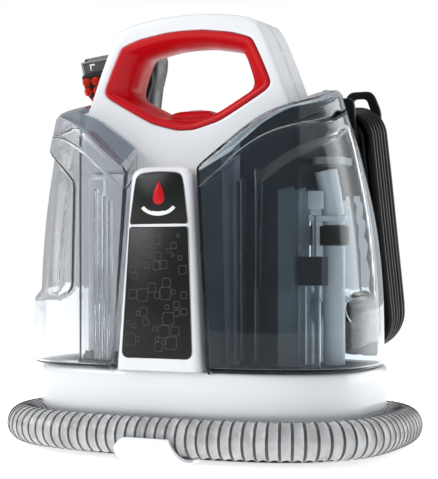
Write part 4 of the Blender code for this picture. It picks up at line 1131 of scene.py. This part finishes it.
def soften_corner(points, at, radius):
    """Round the corner at one index of a closed loop."""
    corner = points[at].copy()
    total = len(points)
    farthest = 40

    def walk(step):
        near = []
        k = 1
        while k < farthest:
            index = (at + step * k) % total
            if (points[index] - corner).length > radius:
                break
            near.append(index)
            k += 1
        beyond = (at + step * k) % total
        way = (points[beyond] - corner).normalized()
        return near, way
    ahead, way_a = walk(1)
    behind, way_b = walk(-1)
    start = corner + way_b * radius
    end = corner + way_a * radius

    def curve(t):
        return start * (1 - t) ** 2 + corner * 2 * t * (1 - t) + end * t * t
    moved = {at: curve(0.5)}
    for index in behind:
        moved[index] = curve(0.5 - 0.5 * (points[index] - corner).length / radius)
    for index in ahead:
        moved[index] = curve(0.5 + 0.5 * (points[index] - corner).length / radius)
    for index, place in moved.items():
        points[index] = place


def tank_plan(z, inset=0.0):
    """Closed outline of a tank at one height: outer wall, back, inner wall, column side."""
    n, m = len(ALONG), len(ACROSS)
    outer = [outer_chain(s, z, inset) for s in ALONG]
    inner = [inner_chain(s, inset) for s in ALONG]
    back = [outer[-1].lerp(inner[-1], v) for v in ACROSS]
    side = [outer[0].lerp(inner[0], v) for v in ACROSS]
    loop = outer + back[1:] + list(reversed(inner))[1:] + list(reversed(side))[1:-1]
    for at, radius in ((0, 5.0), (n - 1, 7.0), (n + m - 2, 3.0), (2 * n + m - 3, 3.5)):
        soften_corner(loop, at, radius)
    return loop


def wall_table(inset=0.0):
    levels = [58.0 + 4.0 * k for k in range(54)]
    return levels, [tank_plan(z, inset) for z in levels]


def wall_point(table, index, z):
    levels, plans = table
    spot = min(max((z - levels[0]) / 4.0, 0.0), len(levels) - 1.001)
    k = int(spot)
    return plans[k][index].lerp(plans[k + 1][index], spot - k)


def outer_point(table, index, z):
    """Point on a wall, pushed in where the finger grip is."""
    point = wall_point(table, index, z)
    if index < len(ALONG) - 1:
        deep = recess(point.x, point.y, z)
        middle = Vector((0.0, -15.0))
        point = point - (point - middle).normalized() * deep
    return point


def at_surface(table, index, surface):
    z = 200.0
    for _ in range(7):
        point = wall_point(table, index, z)
        z = surface(point.x, point.y)
    return z


def inward(table, index, z):
    """Unit normal of the wall, towards the inside of the tank."""
    count = len(table[1][0])
    a, b = wall_point(table, index - 2, z), wall_point(table, (index + 2) % count, z)
    along = (b - a).normalized()
    return Vector((-along.y, along.x))


def wall_tone(index, n, m, point, z):
    """Which finish a wall face takes: 0 outside, then dark, middle and light slate inside. The middle and
    light slate are lighter copies of the dark slate: painted highlight on the inner corner and painted light
    on the lower inner walls.
    """
    if index < n - 1:
        return 0
    if index < n + m - 2:
        return 0 if point.x > 100 and z < 185 else 1
    if index < 2 * n + m - 3:
        if point.y > INNER_Y + 4:
            # Side wall below z 189 takes the light slate: painted light.
            return 3 if z < 189 and point.y < 8 else 1
        if point.x < 47:
            return 3
        # Inner corner zone below z 189 takes the middle slate: painted highlight.
        return 2 if point.x > 76 and z < 189 else 1
    return 2 if point.y < -60 else 3


def make_tank(name, side, body, node, outer_finish, inner_finishes):
    """Open-topped vessel up to the seam, rounded where its wall meets its floor."""
    table = wall_table()
    count = len(table[1][0])
    n, m = len(ALONG), len(ACROSS)
    radius = 4.0
    rows = []
    for k in range(6):
        t = math.pi / 2 * k / 5
        z = TANK_BOTTOM + radius * (1 - math.cos(t))
        push = radius * (1 - math.sin(t))
        rows.append([(wall_point(table, i, z) + inward(table, i, z) * push, z) for i in range(count)])
    tops = [at_surface(table, i, seam_height) for i in range(count)]
    steps = 64
    low = TANK_BOTTOM + radius
    for k in range(1, steps + 1):
        row = []
        for i in range(count):
            z = low + (tops[i] - low) * k / steps
            row.append((outer_point(table, i, z), z))
        rows.append(row)
    loops = [[(side * p.x, p.y, z) for p, z in row] for row in rows]
    verts, faces = skin_of(loops, caps=False)
    marks = [wall_tone(i, n, m, *spot) for row in rows[:-1] for i, spot in enumerate(row)]
    faces.append(tuple(range(count)))
    marks.append(1)
    finishes = [outer_finish, *inner_finishes]
    tank = new_piece(name, verts, faces, finishes, body, [node], marks=marks, sharp=50)
    solidify(tank, WALL)


def make_lid(name, side, body, node, skirt_finish, inner_finishes, top_finish):
    """Clear lid above the seam: a skirt and a sloping top with soft edges."""
    table = wall_table()
    count = len(table[1][0])
    n, m = len(ALONG), len(ACROSS)
    radius = 4.2
    edge = [at_surface(table, i, shoulder) for i in range(count)]
    loops = []
    for share in (0.0, 0.12, 0.3, 0.5, 0.7, 0.85, 1.0):
        row = []
        for i in range(count):
            foot = edge[i] - LID_BAND + 0.3
            z = foot + (edge[i] - radius - foot) * share
            p = wall_point(table, i, z)
            row.append((side * p.x, p.y, z))
        loops.append(row)
    verts, faces = skin_of(loops, caps=False)
    marks = []
    for _ in range(len(loops) - 1):
        marks += [wall_tone(i, n, m, wall_point(table, i, edge[i]), 250.0) for i in range(count)]
    rim = [wall_point(table, i, edge[i]) for i in range(count)]
    first = len(verts) - count
    on_rim = {}
    for i in range(n):
        on_rim[i, m - 1] = n + m - 2 + (n - 1 - i)
    for j in range(m):
        on_rim[0, j] = 2 * n + m - 3 + (m - 1 - j)
        on_rim[n - 1, j] = n - 1 + j
    for i in range(n):
        on_rim[i, 0] = i
    outer = rim[:n]
    back = rim[n - 1:n + m - 1]
    inner = list(reversed(rim[n + m - 2:2 * n + m - 2]))
    column_side = [rim[0]] + list(reversed(rim[2 * n + m - 3:]))
    grid = {}
    for i, u in enumerate(ALONG):
        for j, v in enumerate(ACROSS):
            p = (outer[i] * (1 - v) + inner[i] * v + column_side[j] * (1 - u) + back[j] * u
                 - (outer[0] * (1 - u) * (1 - v) + outer[-1] * u * (1 - v) + inner[0] * (1 - u) * v
                    + inner[-1] * u * v))
            near = min(v, 1 - v) * (outer[i] - inner[i]).length
            near = min(near, min(u, 1 - u) * 195.0)
            depth = max(0.0, radius - near)
            drop = radius - math.sqrt(max(0.0, radius * radius - depth * depth))
            if (i, j) in on_rim:
                grid[i, j] = first + on_rim[i, j] % count
            else:
                grid[i, j] = len(verts)
                verts.append((side * p.x, p.y, shoulder(p.x, p.y) - drop))
    for i in range(n - 1):
        for j in range(m - 1):
            faces.append((grid[i, j], grid[i + 1, j], grid[i + 1, j + 1], grid[i, j + 1]))
            marks.append(4 if 2 < j < m - 4 and 3 < i < n - 5 else 0)
    finishes = [skirt_finish, *inner_finishes, top_finish]
    lid = new_piece(name, verts, faces, finishes, body, [node], marks=marks, sharp=60)
    solidify(lid, 2.2)


def make_clean_tank():
    inside = (clear(), clear(), clear())
    make_tank("clean_tank_shell", -1, "clean_tank", "clean_tank", clear(), inside)
    make_lid("clean_lid_shell", -1, "clean_tank_lid", "clean_tank_lid", clear(), inside,
             clear_slate())
    for number, x in enumerate((-43.5, -47.5, -51.5, -55.0), 1):
        high = seam_height(x, -80) - 20
        rounded_box(f"clean_tank_rib_{number}", (x - 0.6, -82.4, 68), (x + 0.6, -77.5, high), 0.4, clear(),
                    "clean_tank", segments=2)
    rounded_box("clean_tank_latch", (-47.5, -83.6, 186), (-44.5, -81.5, 199), 1.0, milky(), "clean_tank")
    pocket = rounded_outline([(-50, -56, 3), (-80, -56, 5), (-80, -52, 2), (-50, -52, 2)], 4)
    plate("clean_tank_pickup", pocket, 66, 72, 0.8, clear_slate(), "clean_tank", axis='z')


def make_dirty_tank():
    # Dark slate inside, and two lighter copies of it, which wall_tone lays out as painted highlight and
    # painted light.
    inside = (slate(), slate_mid_painted_highlight(), slate_light_painted_light())
    make_tank("dirty_tank_shell", 1, "dirty_tank", "dirty_tank", smoke(), inside)
    make_lid("dirty_lid_shell", 1, "dirty_tank_lid", "dirty_tank_lid", smoke(), inside,
             smoke())
    x, y = DIRTY_PORT
    path = [(x, y, TANK_BOTTOM - 3), (x, y, 90), (x, y, 130), (x, y, 156), (x - 0.6, y - 0.6, 172),
            (x - 2.4, y - 2.0, 188), (x - 5.0, y - 4.0, 204)]
    points = smooth_path(path, 4.0)
    outer = tube_loops(points, lambda i: 8.0, 40)
    inner = tube_loops(points, lambda i: 6.2, 40)
    verts, faces = skin_of(outer + list(reversed(inner)), ring=True)
    new_piece("duct_tube", verts, faces, [milky()], "dirty_tank", ["separator_duct"])
    turned("duct_collar", ((8.1, 150), (10.6, 150.6), (10.6, 164), (8.1, 164.8)), black(), "dirty_tank",
           centre=(x, y, 0), ring=True)
    rounded_box("duct_bracket", (x - 16, y - 14, 167), (x + 13, y - 9.6, 171.5), 0.9, milky(), "dirty_tank")
    rounded_box("duct_label_plate", (x - 16, y - 16, 176), (x - 3, y - 13, 189), 0.6, milky(), "dirty_tank")
    for number, (px, low, high) in enumerate(((47.0, 68, 196), (50.5, 68, 198), (61.5, 68, 204)), 1):
        rounded_box(f"dirty_tank_rib_{number}", (px - 0.7, -58, low), (px + 0.7, -51.0, high), 0.5,
                    clear_slate(),
                    "dirty_tank", segments=2)


# ---------------------------------------------------------------- hand tool
def tool_loop(z, half_x, front, back, power):
    middle, depth = (front + back) / 2, (back - front) / 2
    return [(x, middle + y, z) for x, y, _ in oval(half_x, depth, 0, 72, power)]


def tool_part(name, sections, finish, nodes):
    """Loft in the tool's own frame; each section is (z, half width, front, back, power)."""
    zs = [s[0] for s in sections]
    loops = []
    for s0, s1 in zip(sections, sections[1:]):
        steps = max(1, round((s1[0] - s0[0]) / 3.0))
        for k in range(steps):
            z = s0[0] + (s1[0] - s0[0]) * k / steps
            loops.append(tool_loop(z, *(between(zs, [s[c] for s in sections], z) for c in range(1, 5))))
    loops.append(tool_loop(*sections[-1]))
    return loft(name, loops, finish, "hand_tool", nodes, turn=tool_frame(), sharp=50)


def make_tool():
    turn = tool_frame()
    tip = (TOOL_TOP - TOOL_FOOT).length
    tool_part("cuff_body", [(0, 16.2, -16.2, 16.2, 2), (1.2, 17.2, -17.2, 17.2, 2), (5, 17.6, -17.6, 17.6, 2),
                            (18, 17.1, -17.1, 17.1, 2), (24, 16.0, -16, 16, 2), (28, 15, -15, 15, 2)],
              black(),
              ["tool_cuff"])
    for number in range(5):
        z = 6.0 + number * 3.2
        rings = [tool_loop(z + dz, 17.3 + out, -17.3 - out, 17.3 + out, 2) for dz, out in
                 ((0, 0), (0.4, 0.45), (1.2, 0.45), (1.6, 0))]
        loft(f"cuff_ridge_{number + 1}", rings, black(), "hand_tool", turn=turn)
    grip = tool_part("grip_body", [(28.3, 14, -14.5, 14.5, 2.4), (40, 15.5, -17, 16, 2.4),
                                   (70, 16, -19, 17, 2.4),
                                   (100, 15.5, -18, 16, 2.4), (120, 16.5, -15, 15, 2.4),
                                   (134, 15, -13.5, 13.5, 2.4)],
                     grey(), ["tool_grip"])
    pocket = ((-8, -40), (8, -40), (8, -7), (-8, -7))
    carve(grip, [skin_of([[turn @ Vector((x, y, z)) for x, y in pocket] for z in (44, 90)])])
    section = rounded_outline([(-9.5, 87.5, 1.0), (-17.0, 87.5, 3.0), (-24.5, 70, 8), (-25, 52, 5),
                               (-22, 46, 2.5),
                               (-15.5, 46, 1.5), (-14.5, 56, 3), (-14.5, 78, 2), (-9.5, 81, 1)], 5)
    plate("trigger_body", section, -7.4, 7.4, 1.3, red(), "trigger", ["tool_trigger"], turn=turn,
          axis='x')
    flare = [(134.3, 15, -13.5, 13.5, 2.4), (150, 16.5, -13, 15, 3), (180, 25, -13, 17, 4),
             (200, 33.5, -12.5, 16, 6), (208, 34.8, -11.8, 14, 6), (tip - 1.2, 35, -11.2, 12.2, 6),
             (tip, 34.2, -10.4, 11.4, 6)]
    nozzle = tool_part("nozzle_body", flare, nozzle_grey(), ["tool_nozzle"])
    mouth = ((-31, -6.5), (31, -6.5), (31, 1.5), (-31, 1.5))
    carve(nozzle, [skin_of([[turn @ Vector((x * share, y, z)) for x, y in mouth]
                            for z, share in ((150, 0.42), (tip + 5, 1.0))])])
    rounded_box("nozzle_lip", (-33.5, -13.2, 203.5), (33.5, -11.4, tip - 2), 0.7, nozzle_grey(), "hand_tool",
                turn=turn)
    corner = [(-26.5, 207.6), (-25.2, 207.6), (-25.2, 211.4), (-21.4, 211.4), (-21.4, 212.8), (-26.5, 212.8)]
    plate("nozzle_mark", corner, -13.6, -13.0, 0.2, white(), "hand_tool", turn=turn)
    foot, top = 203.4, tip - 2.0
    rims = ((-34.0, 34.0, foot, foot + 1.0), (-34.0, 34.0, top - 1.2, top), (-34.6, -33.6, foot, top),
            (33.6, 34.6, foot, top))
    for number, (left, right, low, high) in enumerate(rims, 1):
        rounded_box(f"nozzle_rim_{number}", (left, -13.5, low), (right, -12.6, high), 0.3, grey(),
                    "hand_tool", turn=turn)
    outline = rounded_outline([(-8, 150, 3), (8, 150, 3), (32, 190, 3), (33, 205, 2.5), (-33, 205, 2.5),
                               (-32, 190, 3)], 5)
    plate("brush_plate", outline, -20, -13.6, 1.2, black(), "hand_tool", ["brush_block"],
          turn=turn)
    make_bristles(turn)


def make_bristles(turn):
    """Rows of round tufts, each a bundle of filaments that splay a little."""
    rng = random.Random(5)
    finish = plastic("bristle_nylon", (0.86, 0.050, 0.012), (0.3, 0.45), 0.25, bump=0.1, blotch=300.0)
    verts, faces = [], []
    rows = 6
    for row in range(rows):
        z = 159.5 + row * 7.9
        half = 5.0 + (z - 153) * 24.0 / 38.0 if z < 191 else 29.5
        half = min(half, 29.5) - 3.0
        places = max(1, int(2 * half / TUFT_SPACING) + 1)
        for k in range(places):
            x = 0.0 if places == 1 else -half + 2 * half * k / (places - 1)
            for ring, number in ((0.0, 1), (0.9, 6), (1.75, 12), (TUFT_RADIUS, 17)):
                for m in range(number):
                    angle = math.tau * m / number + ring
                    fx, fz = x + ring * math.cos(angle), z + ring * math.sin(angle)
                    splay = 1.22 + rng.uniform(-0.08, 0.12)
                    tall = -26.9 + 1.5 * (ring / TUFT_RADIUS) ** 2 + rng.uniform(0, 0.4)
                    tx, tz = x + (fx - x) * splay, z + (fz - z) * splay
                    stations = ((-19.6, fx, fz, 0.46), (-23.5, (fx + tx) / 2, (fz + tz) / 2, FILAMENT_RADIUS),
                                (tall + 0.3, tx, tz, FILAMENT_RADIUS), (tall, tx, tz, 0.25))
                    loops = [[(cx + a, y, cz + b) for a, b, _ in circle(r, 6, 0)] for y, cx, cz,
                             r in stations]
                    more, skin = skin_of(loops)
                    faces += [tuple(len(verts) + i for i in face) for face in skin]
                    verts += more
    new_piece("bristle_tufts", verts, faces, [finish], "hand_tool", ["bristle_pad"], turn=turn)


def make_cradle():
    """Springy fork that grips the tool, on a short arm from the housing."""
    centre = tool_frame() @ Vector((0, 0, CRADLE_PLACE))
    toward = math.atan2(48 - centre.y, -66 - centre.x)
    half = math.radians(100)
    inner, outer = CRADLE_INNER, CRADLE_OUTER
    steps = 60
    plan = []
    for i in range(steps + 1):
        t = toward - half + 2 * half * i / steps
        plan.append((centre.x + inner * math.cos(t), centre.y + inner * math.sin(t)))
    for k in range(1, 6):
        t = toward + half
        a = math.pi * k / 6
        r = (inner + outer) / 2 - (outer - inner) / 2 * math.cos(a)
        plan.append((centre.x + r * math.cos(t) - math.sin(t) * 1.6 * math.sin(a),
                     centre.y + r * math.sin(t) + math.cos(t) * 1.6 * math.sin(a)))
    for i in range(steps + 1):
        t = toward + half - 2 * half * i / steps
        plan.append((centre.x + outer * math.cos(t), centre.y + outer * math.sin(t)))
    plate("cradle_fork", plan, 188.0, 202.0, 0.8, black(), "machine", ["tool_cradle"],
          axis='z', segments=2)
    reach = Vector((math.cos(toward), math.sin(toward)))
    across = Vector((-reach.y, reach.x))
    near = Vector((centre.x, centre.y)) + reach * (inner + 1.8)
    far = near + reach * 26
    arm = [near + across * 8, near - across * 8, far - across * 8, far + across * 8]
    plate("cradle_arm", [tuple(p) for p in arm], 189.0, 201.0, 0.8, black(), "machine",
          axis='z')


# ---------------------------------------------------------------- hose port, cord hooks, gland
def make_hose_port():
    route = [(4, 50, 168), (4, 58, 168), (4, 67, 168), (4, 77, 165.5), (4, 84, 159), (4, 87.6, 150)]
    points = smooth_path(route, 2.0)
    verts, faces = skin_of(tube_loops(points, lambda i: 15.8 if 4 < len(points) - 1 - i else 16.4, 48))
    new_piece("port_elbow", verts, faces, [black()], "machine", ["hose_port"])
    collar = ((17.2, -1.0), (21.5, -1.0), (22.2, 0.2), (22.2, 2.2), (21.0, 3.4), (17.2, 3.4))
    turned("port_collar", collar, black(), "machine", centre=(4, 65.5, 168),
           axis=(0, 1, 0.21),
           ring=True)


def make_cord_hooks():
    turn = hank_frame()
    tall = HANK_TOP - HANK_BOTTOM
    low = HANK_RING + 3.0
    finish = black()
    arm = rounded_outline([(-8, low, 1.5), (8, low, 1.5), (8, low + 8, 3), (-8, low + 8, 3)], 4)
    plate("lower_hook_arm", arm, -12, HANK_THICK + 4.6, 0.6, finish, "machine",
          ["lower_cord_hook"],
          turn=turn)
    face = rounded_outline([(-8, low + 8, 3), (8, low + 8, 3), (8, -9, 5), (-8, -9, 5)], 5)
    plate("lower_hook_plate", face, HANK_THICK + 1, HANK_THICK + 5, 1.0, finish, "machine",
          turn=turn)
    centre_z = tall - HANK_TOP_HALF
    rounded_box("upper_hook_block", (-13, -34, centre_z - 9), (13, -1.5, centre_z + 9), 1.6, finish,
                "machine",
                ["upper_hook_base"], turn=turn)
    flange = rounded_outline([(-12, centre_z, 1), (12, centre_z, 1), (11, tall + 5, 3), (8, tall + 9, 3),
                              (-8, tall + 9, 3), (-11, tall + 5, 3)], 5)
    plate("upper_hook_flange", flange, -5.5, -1.6, 0.9, finish, "machine", turn=turn)
    loops = [[(x, h, z + centre_z) for x, z, _ in circle(r, 40, 0)] for r, h in
             ((7.4, -1.2), (8.0, -0.6), (8.0, HANK_THICK + 2), (7.0, HANK_THICK + 2.4))]
    loft("upper_hook_arm", loops, finish, "cord_hook", turn=turn)
    outline = rounded_outline([(-13, centre_z - 8, 4), (13, centre_z - 8, 4), (17, tall - 6, 5),
                               (12, tall + 8, 3),
                               (8, tall + 12, 4), (-8, tall + 12, 4), (-12, tall + 8, 3), (-17, tall - 6, 5)],
                              5)
    hook = plate("upper_hook_plate", outline, HANK_THICK + 1, HANK_THICK + 5, 1.1, finish, "cord_hook",
                 ["upper_cord_hook"], turn=turn)
    window = rounded_outline([(-9, tall - 5, 2), (9, tall - 5, 2), (5.5, tall + 6, 3), (-5.5, tall + 6, 3)],
                             4)
    carve(hook, [skin_of([[turn @ Vector((x, y, z)) for x, z in window] for y in (30, 60)])])


def make_gland():
    """Tapered strain relief with slots round it."""
    profile = [(5.2, -6), (5.2, 1.6), (8.2, 1.8), (8.5, 2.4), (8.5, 4.6), (7.8, 5.2)]
    for k in range(5):
        h = 5.6 + k * 1.35
        r = 6.0 - k * 0.36
        profile += [(r, h), (r, h + 0.7), (r - 0.8, h + 0.8), (r - 0.8, h + 1.25)]
    profile += [(4.2, 12.4)]
    turned("gland_boot", profile, rubber(), "machine", ["cord_gland"], centre=CORD_EXIT,
           axis=(0, 1, 0))


# ---------------------------------------------------------------- finishes of the remaining solids
def dress_nodes():
    finishes = {
        black(): ("base_plate", "motor_mount", "fan_housing", "pump_bracket", "power_switch",
                  "clean_tank_receiver"),
        rubber(): ("rubber_foot_1", "rubber_foot_2", "rubber_foot_3", "rubber_foot_4", "valve_poppet",
                   "dirty_tank_gasket", "drain_plug"),
        steel(): ("base_screw_1", "base_screw_2", "base_screw_3", "base_screw_4", "vacuum_motor",
                  "pump_piston",
                  "trigger_pin"),
        grey(): ("suction_duct", "water_pump", "valve_cap", "separator_baffle"),
        smoke(): ("float_guide",),
        slate(): ("float",),
        aluminium(): ("fan_impeller",),
    }
    for finish, names in finishes.items():
        for name in names:
            node = frame["nodes"][name]
            node.data.materials.clear()
            node.data.materials.append(finish)
            for face in node.data.polygons:
                face.use_smooth = True
            node.data.set_sharp_from_angle(angle=math.radians(38))


make_base()
make_clip()
make_column()
make_housing()
make_handle()
make_clean_tank()
make_dirty_tank()
make_tool()
make_cradle()
make_hose_port()
make_cord_hooks()
make_gland()
dress_nodes()
